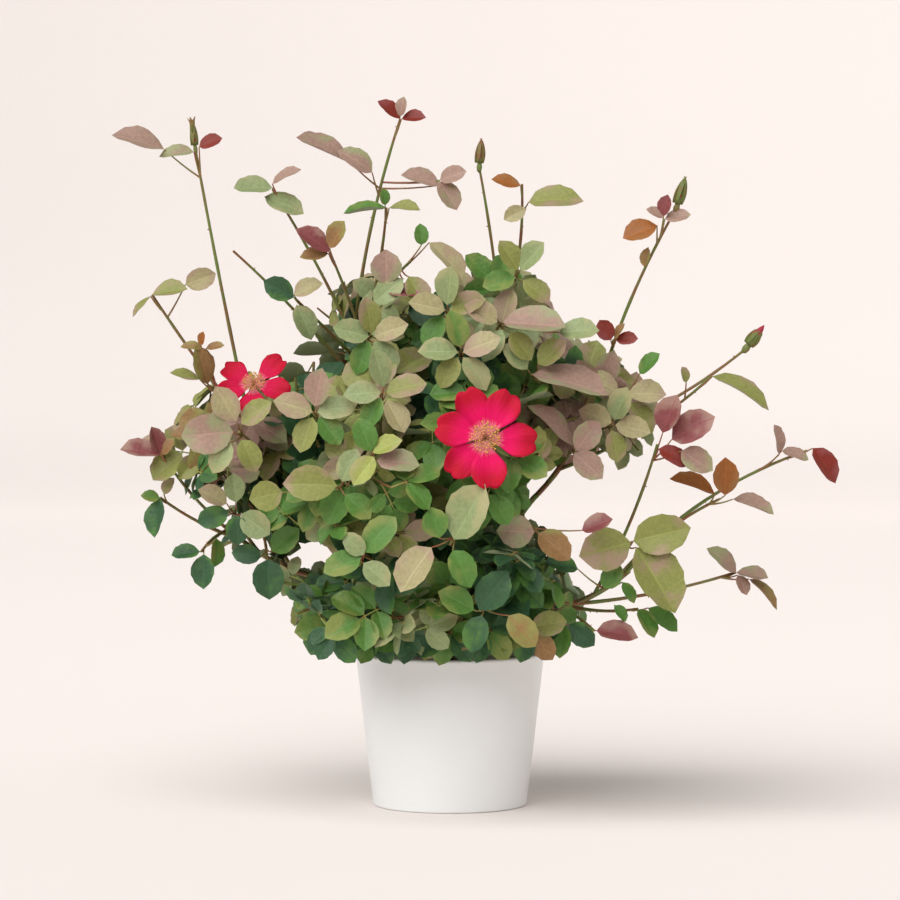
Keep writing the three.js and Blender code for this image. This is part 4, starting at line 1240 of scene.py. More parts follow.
class ROSE_OT_pot(bpy.types.Operator):
    """Makes the tapered pot with its rounded rim"""
    bl_idname = "rose.pot"
    bl_label = "Pot"

    def execute(self, context):
        pot = context.scene.rose_pot
        height, edge, floor = POT_HIGH.z, POT["edge"], POT["floor"]
        slope = (pot.rim - pot.foot) / height
        half = pot.wall / 2

        def outside(z):
            return pot.foot + slope * z

        foot_round = [(pot.foot - edge * (1 - math.sin(a)) + slope * 0.001, edge * (1 - math.cos(a)))
                      for a in np.linspace(0, math.pi / 2, 5)]
        walls = [(outside(z), z) for z in np.linspace(edge * 1.6, height - edge * 2.2, 14)]
        rim = [(pot.rim - half + half * math.cos(a), height - half + half * math.sin(a))
               for a in np.linspace(0, math.pi, 11)]
        inner = [(outside(z) - pot.wall, z) for z in np.linspace(height - POT["lip"], floor, 8)]
        profile = [(0, 0), *foot_round, *walls, *rim, *inner, (0, floor)]
        add_piece("pot_body", revolved(profile, POT["sides"]), glaze_finish(pot.glaze), "pot", "pot")
        return {"FINISHED"}


def compost_finish(colour):
    finish = Finish("compost", Specular_IOR_Level=0.25)
    grain = finish.noise(900, 4)
    finish.feed("Base Color", finish.mix(grain, shaded(colour, 0.55), shaded(colour, 1.7)))
    finish.feed("Roughness", grain * 0.25 + 0.7)
    finish.bumped(finish.noise(420, 5), 0.0012)
    return finish.material


class ROSE_OT_compost(bpy.types.Operator):
    """Makes the compost in the pot, with loose crumbs on it"""
    bl_idname = "rose.compost"
    bl_label = "Compost"

    def execute(self, context):
        settings = context.scene.rose_pot
        material = compost_finish(settings.compost)
        random = seeded("compost")
        edge, rings = SOIL_HIGH.x - COMPOST["clear"], COMPOST["rings"]
        top = SOIL_HIGH.z - COMPOST["sink"]
        profile = [(0, SOIL_LOW.z), (SOIL_HIGH.x * 0.9, SOIL_LOW.z), (edge, top - COMPOST["shoulder"])]
        for ring in range(rings):
            share = 1 - ring / rings
            profile.append((edge * share * 0.995, top - COMPOST["crown"] * share**2))
        profile.append((0, top))
        points, faces = revolved(profile, COMPOST["sides"])
        lumps = [(random() * edge * 2 - edge, random() * edge * 2 - edge,
                  lerp(*COMPOST["lump_reach"], random()), lerp(*COMPOST["lump_rise"], random()))
                 for _ in range(COMPOST["lumps"])]
        raised = []
        for x, y, z in points:
            if z > (SOIL_LOW.z + SOIL_HIGH.z) / 2:
                z += sum(h * math.exp(-((x - a) ** 2 + (y - b) ** 2) / (r * r)) for a, b, r, h in lumps
                         if abs(x - a) < 3 * r and abs(y - b) < 3 * r)
            raised.append((x, y, min(z, SOIL_HIGH.z)))
        add_piece("compost", (raised, faces), material, "soil", "soil")
        self.scatter_crumbs(settings, material, raised, faces)
        return {"FINISHED"}

    def scatter_crumbs(self, settings, material, points, faces):
        shapes = bpy.data.collections.new("crumb_shapes")
        random = seeded("crumbs")
        for number in range(CRUMB["shapes"]):
            ball, sides = revolved([(0, -1), (0.8, -0.5), (0.9, 0.4), (0, 1)], CRUMB["sides"])
            rough = [tuple(v * lerp(*CRUMB["rough"], random()) for v in p) for p in ball]
            add_object(f"crumb_{number}", mesh_of(f"crumb_{number}", rough, sides, smooth=False), shapes)
        recipe = Recipe("Crumbs on Compost", {
            "Crumbs": "Collection", "Crumb Size": "Float", "Density": "Float", "Compost": "Material"})
        spread = recipe.node("GeometryNodeDistributePointsOnFaces", values={
            "Mesh": recipe.given("Geometry"), "Density": recipe.given("Density"), "Seed": 4})
        size = recipe.node("FunctionNodeRandomValue", {"data_type": "FLOAT"},
                           {"Min_001": 0.4, "Max_001": 1.6, "Seed": 1}, "Value_001")
        spin = recipe.node("FunctionNodeRandomValue", {"data_type": "FLOAT_VECTOR"},
                           {"Min": (0, 0, 0), "Max": (6.28, 6.28, 6.28), "Seed": 2}, "Value")
        real = recipe.copies(spread, "Crumbs", {"Rotation": spin, "Scale": size * recipe.given("Crumb Size")})
        recipe.finish(recipe.painted(real, "Compost"))

        def in_bed(corner):
            x, y, z = points[corner]
            return z > SOIL_HIGH.z - CRUMB["bed"] and math.hypot(x, y) < SOIL_HIGH.x * CRUMB["bed_share"]

        flat = [face for face in faces if all(in_bed(corner) for corner in face)]
        host = add_object("crumb_bed", mesh_of("crumb_bed", points, flat))
        crumbs = recipe.run(host, "compost_crumbs", {"Crumbs": shapes, "Crumb Size": CRUMB["size"],
                                                     "Density": settings.crumbs, "Compost": material})
        drop_shapes(shapes)
        placed(crumbs, "soil")


def drop_shapes(shapes):
    """Removes the shapes that a recipe repeated."""
    for shape in list(shapes.objects):
        bpy.data.objects.remove(shape)
    bpy.data.collections.remove(shapes)


# ------------ stem, canes and prickles


def bark_finish(limbs):
    finish = Finish("bark", Specular_IOR_Level=0.35)
    height = finish.node("ShaderNodeSeparateXYZ", values={"Vector": finish.place}, result="Z")
    streaks = finish.noise(160, 5, finish.stretched((1, 1, 0.18)))
    blotches = finish.noise(34, 3)
    young = finish.step(height + blotches * 0.06, 0.15, 0.27)
    old = finish.mix(streaks, shaded(limbs.bark, 0.45), shaded(limbs.bark, 1.25))
    fresh = finish.mix(finish.step(blotches, 0.45, 0.75), limbs.green, limbs.flush)
    finish.feed("Base Color", finish.mix(young, old, fresh))
    finish.feed("Roughness", streaks * 0.3 + 0.5)
    finish.bumped(streaks, 0.0007)
    return finish.material


def twig_finish(name, first, second):
    finish = Finish(name, Specular_IOR_Level=0.4)
    blotches = finish.noise(55, 3)
    finish.feed("Base Color", finish.mix(finish.step(blotches, 0.35, 0.7), first, second))
    finish.feed("Roughness", blotches * 0.2 + 0.42)
    finish.bumped(finish.noise(700, 2), 0.00015)
    return finish.material


# Twigs have a knot at each old leaf. A leaf's stalk carries a short one for each leaflet.
ROD = {"step": 0.010, "knot": 0.14, "knot_every": 0.017}
STALK = {"root": 0.00085, "tip": 0.0005, "behind": 0.0012, "ahead": 0.0015, "leaflet": (0.0005, 0.0004)}


def cane_girth(mass, relief):
    """The radius of a cane with bark relief: ridges along it, a swollen foot and a ring at each old leaf."""
    random = seeded(f"cane_{mass.name}")
    ridges = [(lerp(2, 6, random()), random() * 6.28, lerp(8, 26, random()), random() * 6.28)
              for _ in range(5)]
    rings = [lerp(0.12, 0.95, random()) for _ in range(6)]

    def girth(share, angle):
        base = lerp(CANE["root"], CANE["tip"], share) + 0.0016 * math.exp(-share * 16)
        bark = sum(math.sin(round(n) * angle + p) * math.sin(m * share + q) for n, p, m, q in ridges)
        swelling = sum(math.exp(-((share - ring) / 0.012) ** 2) for ring in rings)
        return base + relief * (0.35 * bark * (1.15 - share) + 0.9 * swelling)

    return girth


def stem_shape(relief):
    """The stem: flared foot with ribs, a neck and a knobbly union."""
    height = STEM["height"]
    rows = 22
    profile = []
    for row in range(rows + 1):
        share = row / rows
        flare = (STEM["foot"] - STEM["neck"]) * math.exp(-share * 9)
        union = (STEM["top"] - STEM["neck"]) * math.exp(-((share - 0.75) / 0.22) ** 2) * 1.3
        closing = math.sqrt(max(0, 1 - max(0, (share - 0.86) / 0.16) ** 2))
        profile.append(((STEM["neck"] + flare + union) * max(closing, 0.12), height * share))
    random = seeded("stem")
    ribs = [(n, random() * 6.28, lerp(0.3, 1.0, random())) for n in (3, 5, 7, 9, 13)]

    def wobble(row, angle):
        share = row / rows
        rib = sum(weight * math.sin(n * angle + phase + share * 1.5) for n, phase, weight in ribs)
        return 1 + (relief * 60) * rib * (0.35 + 0.9 * math.exp(-share * 6)) * 0.8

    points, faces = revolved([(0, 0), *profile, (0, height)], 40, lambda row, angle: wobble(row - 1, angle))
    points = [(x + STEM["lean"] * z / height, y, z + STEM_LOW.z) for x, y, z in points]
    return points, faces


def prickle_shape():
    """A hooked prickle, along +Y from its foot with its hook towards -Z."""
    sides = 6
    points, loops = [], []
    for reach, radius, drop in ((0, 0.5, 0), (0.3, 0.26, 0.02), (0.68, 0.12, -0.08)):
        loops.append(range(len(points), len(points) + sides))
        points += [(radius * 0.55 * math.cos(a), reach, drop + radius * math.sin(a))
                   for a in np.linspace(0, 2 * math.pi, sides, endpoint=False)]
    loops.append([len(points)] * sides)
    points.append((0, 1, -0.3))
    return points, [*bands(loops[::-1]), tuple(range(sides))]


class ROSE_OT_limbs(bpy.types.Operator):
    """Makes the stem and the canes with their bark, and the prickles"""
    bl_idname = "rose.limbs"
    bl_label = "Stem and Canes"

    def execute(self, context):
        limbs = context.scene.rose_limbs
        plant = grown_plant()
        parts = [tube(cane, 44, 12, cane_girth(mass, limbs.relief)) for cane, mass in plant.canes]
        nodes = ["stem"] + [f"cane_{mass.name}" for mass in MASSES]
        shape = joined([stem_shape(limbs.relief), *parts])
        add_piece("stem_and_canes", shape, bark_finish(limbs), "bark", *nodes)
        self.scatter_prickles(plant, limbs)
        return {"FINISHED"}

    def scatter_prickles(self, plant, limbs):
        places = []
        random = seeded("prickles")
        limbs_with_girth = [(cane, CANE["root"], CANE["tip"], 9) for cane, _ in plant.canes]
        limbs_with_girth += [(path, root, tip, 4) for path, root, tip, _ in plant.twigs[: len(MASSES)]]
        limbs_with_girth += [(path, root, tip, 5) for path, root, tip, young in plant.twigs if young]
        for path, root, tip, count in limbs_with_girth:
            for k in range(count):
                share = (k + 0.2 + 0.6 * random()) / count
                heading = path.heading(share)
                side = turned_about(heading, 360 * random())
                size = limbs.prickle * lerp(0.55, 1.1, random()) * math.sqrt(root / CANE["root"])
                spot = path.at(share) + side * lerp(root, tip, share) * 0.8
                places.append((spot, turn_of(side, heading), size))
        material = twig_finish("prickle", linear(0x9B5A45), linear(0xB98A63))
        repeated("prickles", mesh_of("prickle", *prickle_shape()), places, {"Bark": material}, "bark")


def repeat_recipe(name, labels):
    """A recipe that puts one of several shapes at each point, by the point's own turn, stretch and shape.
    Each label is a material, for the layer of its number."""
    recipe = Recipe(name, {"Shapes": "Collection", "Size": "Float", **dict.fromkeys(labels, "Material")})
    stretch = recipe.node("ShaderNodeVectorMath", {"operation": "SCALE"}, {
        0: recipe.attribute("stretch", "FLOAT_VECTOR"), "Scale": recipe.given("Size")})
    geometry = recipe.copies(recipe.given("Geometry"), "Shapes", {
        "Instance Index": recipe.attribute("shape", "INT"),
        "Rotation": recipe.attribute("turn", "FLOAT_VECTOR"), "Scale": stretch})
    layer = recipe.attribute("layer", "INT")
    for number, label in enumerate(labels):
        in_layer = recipe.node("FunctionNodeCompare", {"data_type": "INT", "operation": "EQUAL"},
                               {"A_INT": layer, "B_INT": number})
        geometry = recipe.painted(geometry, label, in_layer if len(labels) > 1 else None)
    recipe.finish(geometry)
    return recipe


def repeated(name, mesh, places, materials, slot):
    """A piece of copies of one shape. Each place is a root, a turn and a size."""
    shapes = bpy.data.collections.new(f"{name}_shapes")
    add_object(mesh.name, mesh, shapes)
    roots, turns, sizes = zip(*places)
    host = dotted(f"{name}_places", roots, turn=turns, stretch=[[size] * 3 for size in sizes],
                  shape=[0] * len(places))
    recipe = repeat_recipe(f"Copies for {name}", materials)
    piece = recipe.run(host, name, {"Shapes": shapes, "Size": 1.0, **materials})
    drop_shapes(shapes)
    placed(piece, slot)


def sweep_recipe(name):
    """A recipe that turns lines into closed round rods, as thick as each point's girth."""
    recipe = Recipe(name, {"Sides": "Int", "Bark": "Material"})
    lines = recipe.node("GeometryNodeMeshToCurve", values={"Mesh": recipe.given("Geometry")})
    ring = recipe.node("GeometryNodeCurvePrimitiveCircle", values={
        "Resolution": recipe.given("Sides"), "Radius": 1.0})
    rods = recipe.node("GeometryNodeCurveToMesh", values={
        "Curve": lines, "Profile Curve": ring, "Scale": recipe.attribute("girth", "FLOAT"),
        "Fill Caps": True})
    smooth = recipe.node("GeometryNodeSetShadeSmooth", values={"Geometry": rods})
    real = recipe.node("GeometryNodeRealizeInstances", values={"Geometry": smooth})
    recipe.finish(recipe.painted(real, "Bark"))
    return recipe


def swept(recipe, name, lines, sides, material):
    """A piece of rods. Each line is its points and its girth at each of them."""
    points, edges, girths = [], [], []
    for line, girth in lines:
        start = len(points)
        points.extend(line)
        girths.extend(girth)
        edges.extend((start + k, start + k + 1) for k in range(len(line) - 1))
    host = dotted(f"{name}_lines", points, edges, girth=np.array(girths, float))
    placed(recipe.run(host, name, {"Sides": sides, "Bark": material}), "bark")


class ROSE_OT_twigs(bpy.types.Operator):
    """Makes the twigs, the long shoots and the leaf stalks"""
    bl_idname = "rose.twigs"
    bl_label = "Twigs and Stalks"

    def execute(self, context):
        limbs = context.scene.rose_limbs
        plant = grown_plant()
        recipe = sweep_recipe("Rods along Lines")
        for name, is_young, sides, material in (
            ("twigs", False, 7, twig_finish("twig_bark", limbs.green, limbs.flush)),
            ("long_shoots", True, 8, twig_finish("shoot_bark", limbs.green, limbs.flush)),
        ):
            lines = []
            for path, root, tip, young in plant.twigs:
                if young == is_young:
                    shares = np.linspace(0, 1, max(4, round(path.length / ROD["step"])) + 1)
                    waves = np.sin(shares * path.length / ROD["knot_every"] * 2 * math.pi) ** 8
                    lines.append((path.at(shares), lerp(root, tip, shares) * (1 + ROD["knot"] * waves)))
            swept(recipe, name, lines, sides, material)
        self.make_stalks(plant, recipe)
        return {"FINISHED"}

    def make_stalks(self, plant, recipe):
        shares = np.linspace(0, 1, 5)
        girth = lerp(STALK["root"], STALK["tip"], shares)
        for name, young, material in (
            ("leaf_stalks", False, twig_finish("stalk_green", linear(0x8E9A4E), linear(0x9A7A48))),
            ("young_stalks", True, twig_finish("stalk_red", linear(0x9A5A44), linear(0x8B8A4C))),
        ):
            lines = []
            for leaf in plant.leaves:
                if leaf.young == young:
                    lines.append((leaf.stalk.at(shares), girth))
                    for root, way, *_ in leaf.leaflets[1:]:
                        ends = vec(root - way * STALK["behind"], root + way * STALK["ahead"])
                        lines.append((ends, np.array(STALK["leaflet"])))
            swept(recipe, name, lines, 5, material)


# ------------ leaves


def leaflet_shape(number):
    """A leaflet of length 1 along +Y and width 1: toothed, folded at its midrib, drooping and quilted by its
    veins. Gives points, faces, each face's layer (0 blade, 1 midrib, 2 underside) and how near each point is
    to the edge."""
    random = seeded(f"leaflet_{number}")
    fold, droop = lerp(0.04, 0.30, random()), lerp(0.02, 0.26, random())
    roll, wave, phase = lerp(-0.1, 0.1, random()), lerp(0.006, 0.024, random()), random() * 6.28
    widest, blunt = lerp(0.84, 1.0, random()), lerp(0.52, 0.72, random())
    rows, rib, tooth = LEAFLET["rows"], LEAFLET["rib"], LEAFLET["tooth"]
    sides = (-1, -0.5, -rib, rib, 0.5, 1)

    def place(row, side, below=0.0):
        share = row / rows
        out = tooth * (row % 2) * abs(side)
        x = side * (0.5 * math.sin(math.pi * share**widest) ** blunt + out)
        reach = share + (LEAFLET["slant"] * share * (1 - share) + out) * abs(side)
        height = fold * abs(x) - droop * share**2 + roll * x * share
        height += wave * math.sin(9 * share + phase + math.copysign(1, side)) * side * side
        return [x, reach, height - below]

    points, margins = [(0, 0, 0), (0, 1.02, -droop)], [0.4, 1.0]
    grid = {}

    def add_point(row, side, point):
        grid[row, side] = len(points)
        points.append(point)
        margins.append(0.0 if side == "under" else max(abs(side), (row / rows - 0.45) / 0.55))

    for row in range(1, rows):
        for side in sides:
            point = place(row, side)
            raised = LEAFLET["quilt"] * (row % 2) * (rib < abs(side) < 1)
            point[2] += raised - LEAFLET["groove"] * (abs(side) <= rib)
            add_point(row, side, point)
        add_point(row, "under", place(row, 0, below=LEAFLET["thick"]))
    faces, layers = [], []

    def add_face(layer, *corners):
        faces.append(corners)
        layers.append(layer)

    last = rows - 1
    for left, right in zip(sides, sides[1:]):
        layer = int((left, right) == (-rib, rib))
        add_face(layer, 0, grid[1, right], grid[1, left])
        add_face(layer, grid[last, left], grid[last, right], 1)
        for row in range(1, last):
            add_face(layer, grid[row, left], grid[row, right], grid[row + 1, right], grid[row + 1, left])
    for row in range(1, last):
        for left, right in ((-1, "under"), ("under", 1)):
            add_face(2, grid[row, left], grid[row + 1, left], grid[row + 1, right], grid[row, right])
    for left, right in ((-1, "under"), ("under", 1)):
        add_face(2, 0, grid[1, left], grid[1, right])
        add_face(2, grid[last, right], grid[last, left], 1)
    return points, faces, layers, margins


def leaf_finish(name, colour, blush):
    """A leathery blade: its tint, clouded and edged with a second tint, with a satin face."""
    finish = Finish(f"leaf_{name}", Specular_IOR_Level=0.38)
    cloud = finish.noise(42, 3)
    fine = finish.noise(380, 2)
    shade = finish.mix(finish.step(fine, 0.3, 0.7), shaded(colour, 0.84), colour)
    margin = finish.node("ShaderNodeAttribute", {"attribute_name": "margin"}, result="Fac")
    finish.feed("Base Color", finish.mix(finish.step(cloud + margin * 0.14, 0.54, 0.76) * 0.75, shade, blush))
    finish.feed("Roughness", fine * 0.2 + 0.38)
    finish.bumped(fine, 0.0005)
    return finish.material


def rib_finish(name, colour):
    pale = tuple(c * 1.15 + 0.02 for c in colour)
    return mottled_finish(f"rib_{name}", pale, colour, 60, Roughness=0.5, Specular_IOR_Level=0.3)


def underside_finish(name, colour):
    return mottled_finish(name, shaded(colour, 0.85), shaded(colour, 1.1), 380, 3, 0.0003, Roughness=0.62,
                          Specular_IOR_Level=0.25)


def sharpen_edges(mesh):
    """Marks a leaflet's margin sharp, so that its two sides are shaded apart."""
    layer = mesh.attributes["layer"].data
    sides = {}
    for polygon in mesh.polygons:
        for key in polygon.edge_keys:
            sides.setdefault(key, set()).add(layer[polygon.index].value == 2)
    sharp = mesh.attributes.new("sharp_edge", "BOOLEAN", "EDGE")
    sharp.data.foreach_set("value", [len(sides[edge.key]) == 2 for edge in mesh.edges])


class ROSE_OT_leaves(bpy.types.Operator):
    """Makes the leaves, each tint as one piece"""
    bl_idname = "rose.leaves"
    bl_label = "Leaves"

    def execute(self, context):
        settings = context.scene.rose_leaves
        plant = grown_plant()
        shapes = bpy.data.collections.new("leaflet_shapes")
        for number in range(LEAFLET["shapes"]):
            points, faces, layers, margins = leaflet_shape(number)
            mesh = mesh_of(f"leaflet_{number}", points, faces, layers=layers)
            mesh.attributes.new("margin", "FLOAT", "POINT").data.foreach_set("value", margins)
            sharpen_edges(mesh)
            add_object(f"leaflet_{number}", mesh, shapes)
        recipe = repeat_recipe("Leaflets on Stalks", ("Blade", "Rib", "Underside"))
        unders = {False: underside_finish("under_green", linear(0x98A57E)),
                  True: underside_finish("under_red", linear(0xA5796A))}
        random = seeded("leaflets")
        for name in BLUSHES:
            blades = [blade for leaf in plant.leaves if leaf.tint == name for blade in leaf.leaflets]
            if not blades:
                raise RuntimeError(f"no leaves have the tint {name}")
            roots = [root for root, *_ in blades]
            turns = [turn_of(way, face) for _, way, face, *_ in blades]
            stretches = [(width, length, length) for *_, length, width in blades]
            variants = [int(random() * LEAFLET["shapes"]) for _ in blades]
            host = dotted(f"{name}_places", roots, turn=turns, stretch=stretches, shape=variants)
            colour, blush = getattr(settings, name), getattr(settings, BLUSHES[name])
            piece = recipe.run(host, f"leaves_of_{name}", {
                "Shapes": shapes, "Size": settings.size, "Blade": leaf_finish(name, colour, blush),
                "Rib": rib_finish(name, colour), "Underside": unders[TINT_SLOTS.get(name) == "bronze"]})
            self.place(piece, name)
        drop_shapes(shapes)
        return {"FINISHED"}

    def place(self, piece, name):
        slot = TINT_SLOTS.get(name, "olive")
        slots = {part["node"]: part["material_slot"] for part in frame["record"]["subparts"]}
        nodes = [node for node in slots if node.startswith("leaves_") and slots[node] == slot]
        placed(piece, slot, *(nodes if name in slots.values() else ()))


# ------------ blooms and buds


PETAL = {"rows": 12, "columns": 10, "thick": 0.0006, "foot": 0.06, "notch": 0.07, "rounding": 0.30,
         "lift": 0.0009}
SEPAL = {"rows": 7, "half_thick": 0.00025, "droop": 0.18, "cup": 0.12}
# Profiles of (radius, height) in metres, for a bloom of size 1.
CUP = ((0, -0.010), (0.0026, -0.0092), (0.0040, -0.0062), (0.0034, -0.0034), (0.0024, -0.0022), (0, -0.0018))
HIP = ((0, -0.004), (0.0022, -0.0026), (0.0030, 0.0002), (0.0024, 0.0030), (0.0022, 0.0036), (0, 0.0042))
BUD = ((0, 0.0030), (0.0018, 0.0044), (0.0030, 0.0080), (0.0030, 0.0115), (0.0017, 0.0150), (0, 0.0175))
BUD_LENGTH = 0.0215
STAMEN = {"length": 0.0100, "ring": 0.0030, "sunk": 0.0014}


def petal_shape(bloom, heading, lift, seed, width_share):
    """A notched, cupped petal as a thin closed shell. Gives points, faces and each point's place on it."""
    random = seeded(seed)
    across = np.cross(heading, bloom.face)
    length = BLOOM_RADIUS * bloom.size * lerp(0.98, 1.04, random())
    width = length * width_share * lerp(0.94, 1.06, random())
    ripple, phase, curl = lerp(0.03, 0.06, random()), random() * 6.28, lerp(-0.06, 0.14, random())
    rows, columns = PETAL["rows"], PETAL["columns"]
    points, places = [], []
    for layer in (1, -1):
        for row in range(rows + 1):
            v = row / rows
            for column in range(columns + 1):
                u = 2 * column / columns - 1
                spread = 0.12 + 0.88 * math.sin(min(v, 0.76) / 0.76 * math.pi / 2) ** 1.5
                end = 1 - PETAL["notch"] * math.exp(-((u / 0.2) ** 2)) - PETAL["rounding"] * abs(u) ** 2.8
                x = u * width / 2 * spread * (1 - 0.06 * v * abs(u))
                y = length * (PETAL["foot"] + (1 - PETAL["foot"]) * v * lerp(1, end, v))
                dish = 0.16 * v * v - 0.14 * v**4 + curl * max(0, v - 0.6) ** 2 * 3 + 0.10 * u * u * v
                wrinkle = ripple * math.sin(5 * u + phase + 2 * v) * v * v + 0.006 * math.sin(16 * u) * v
                height = length * (dish + wrinkle) + layer * PETAL["thick"] / 2 * (1 - 0.5 * v)
                points.append(bloom.at + heading * y + across * x + bloom.face * (height + lift))
                places.append((column / columns, v))
    grid = np.arange((rows + 1) * (columns + 1)).reshape(rows + 1, columns + 1).tolist()
    faces = [(low[c], low[c + 1], high[c + 1], high[c])
             for low, high in zip(grid, grid[1:]) for c in range(columns)]
    rim = [row[0] for row in grid] + grid[-1][1:-1] + [row[-1] for row in grid[::-1]] + grid[0][-2:0:-1]
    return points, shell(faces, rim, (rows + 1) * (columns + 1)), places


def petal_finish(blooms, bloom):
    """Petals with a pale foot, a magenta middle and a crimson margin. Its share of red warms the middle."""
    finish = Finish(f"{bloom.name}_petal", Specular_IOR_Level=0.18)
    where = finish.node("ShaderNodeUVMap", {"uv_map": "petal"})
    along = finish.node("ShaderNodeSeparateXYZ", values={"Vector": where}, result="Y")
    across = finish.node("ShaderNodeSeparateXYZ", values={"Vector": where}, result="X")
    streaks = finish.noise(1.0, 3, finish.stretched((26, 1.6, 1), where))
    eye, crimson = blooms.eye, blooms.crimson
    magenta = tuple(lerp(a, b, bloom.red) for a, b in zip(blooms.magenta, crimson))
    pale_edge = tuple(0.6 * a + 0.4 * b for a, b in zip(magenta, (1, 0.75, 0.8)))
    stops = ((0.0, eye), (0.12, eye), (0.30, magenta), (0.45, magenta), (0.78, crimson))
    shade = finish.ramp(along + (streaks - 0.5) * 0.40, *stops)
    from_side = finish.node("ShaderNodeMath", {"operation": "ABSOLUTE"}, {0: across * 2 - 1})
    edge = finish.step(from_side + along, 1.9, 2.0)
    veined = finish.mix(finish.step(streaks, 0.55, 0.8) * 0.35, shade, shaded(crimson, 0.6))
    finish.feed("Base Color", finish.mix(edge * 0.5, veined, pale_edge))
    finish.feed("Roughness", streaks * 0.2 + 0.5)
    finish.bumped(streaks, 0.0006)
    return finish.material


def stamen_shape():
    """A stamen along +Z. Gives points, faces and each face's layer: 0 for the filament, 1 for the anther."""
    bend = Path(vec(0, 0, 0), vec(0, 0.05, 0.5), vec(0, 0.22, 0.9), steps=6)
    rod = tube(bend, 3, 4, lambda share, angle: lerp(0.022, 0.014, share))
    ball = revolved([(0, -0.10), (0.062, -0.05), (0.062, 0.05), (0, 0.10)], 6)
    anther = ([(x, y + 0.24, z + 0.93) for x, y, z in ball[0]], ball[1])
    points, faces = joined((rod, anther))
    return points, faces, [0] * len(rod[1]) + [1] * len(anther[1])


def sepal_shape(centre, heading, face, length, width):
    """A sepal: a narrow pointed blade behind a bloom or round a bud."""
    across = np.cross(heading, face)
    points = []
    rows = SEPAL["rows"]
    for layer in (1, -1):
        for row in range(rows):
            share = row / rows
            half = width * math.sin(math.pi * (0.22 + 0.78 * share)) ** 0.8 / 2
            bend = -SEPAL["droop"] * length * share * share
            for side in (-1, 0, 1):
                height = bend + SEPAL["cup"] * width * abs(side) + layer * SEPAL["half_thick"]
                points.append(centre + heading * length * share + across * half * side + face * height)
        points.append(centre + heading * length - face * SEPAL["droop"] * length)
    tip = rows * 3
    faces = [(a, a + 1, a + 4, a + 3) for row in range(rows - 1) for a in (row * 3, row * 3 + 1)]
    faces += [(a, a + 1, tip) for a in (tip - 3, tip - 2)]
    rim = [*range(0, tip, 3), tip, *range(tip - 1, 0, -3), 1]
    return points, shell(faces, rim, tip + 1)


def turned_shape(shape, centre, axis):
    """A shape made round +Z, set with +Z along an axis at a centre."""
    across = square_to(axis, vec(1, 0.3, 0.2))
    over = np.cross(axis, across)
    points = [centre + across * x + over * y + axis * z for x, y, z in shape[0]]
    return points, shape[1]


class ROSE_OT_blooms(bpy.types.Operator):
    """Makes the blooms: petals, stamens, sepals and the cup that holds them"""
    bl_idname = "rose.blooms"
    bl_label = "Blooms"

    def execute(self, context):
        settings = context.scene.rose_blooms
        green = twig_finish("sepal", linear(0x7F9A52), linear(0x8B7A4A))
        filament = mottled_finish("filament", linear(0xEFC87C), linear(0xF0A6A0), 200, 1, Roughness=0.5)
        anther = mottled_finish("anther", linear(0xEDBE62), linear(0xD89A46), 500, Roughness=0.6)
        for bloom in BLOOMS:
            self.make_petals(bloom, settings, petal_finish(settings, bloom))
            self.make_cup(bloom, green)
            self.make_stamens(bloom, settings, filament, anther)
        return {"FINISHED"}

    def make_petals(self, bloom, settings, material):
        parts, places = [], []
        for k, angle in enumerate(bloom.petals):
            lift = -PETAL["lift"] if k % 2 else PETAL["lift"]
            seed = f"{bloom.name}_petal_{k}"
            way = turned_about(bloom.face, angle)
            points, faces, more = petal_shape(bloom, way, lift, seed, settings.width)
            parts.append((points, faces))
            places += more
        petals = add_piece(f"{bloom.name}_petals", joined(parts), material, "petal", bloom.node)
        layer = petals.data.uv_layers.new(name="petal")
        layer.data.foreach_set("uv", [v for loop in petals.data.loops for v in places[loop.vertex_index]])

    def make_cup(self, bloom, material):
        centre, face, size = bloom.at, bloom.face, bloom.size
        parts = [turned_shape(revolved([(r * size, h * size) for r, h in CUP], 16), centre, face)]
        for k in range(5):
            heading = turned_about(face, 36 + 72 * k)
            base = centre - face * 0.0035 * size + heading * 0.003 * size
            parts.append(sepal_shape(base, heading, face, 0.019 * size, 0.0062 * size))
        add_piece(f"{bloom.name}_cup", joined(parts), material, "bark")

    def make_stamens(self, bloom, settings, filament, anther):
        face, random = bloom.face, seeded(f"{bloom.name}_stamens")
        places = []
        for k in range(settings.stamens):
            ring = ((k + 0.5) / settings.stamens) ** 0.7
            way = turned_about(face, k * GOLDEN_ANGLE)
            root = bloom.at - face * STAMEN["sunk"] + way * STAMEN["ring"] * ring * bloom.size
            lean = unit(face + way * lerp(0.05, 1.15, ring) * lerp(0.7, 1.25, random()))
            size = STAMEN["length"] * bloom.size * lerp(0.7, 1.1, random())
            places.append((root, turn_of(square_to(lean, way), lean), size))
        points, faces, layers = stamen_shape()
        mesh = mesh_of("stamen", points, faces, layers=layers)
        repeated(f"{bloom.name}_stamens", mesh, places, {"Filament": filament, "Anther": anther}, "petal")


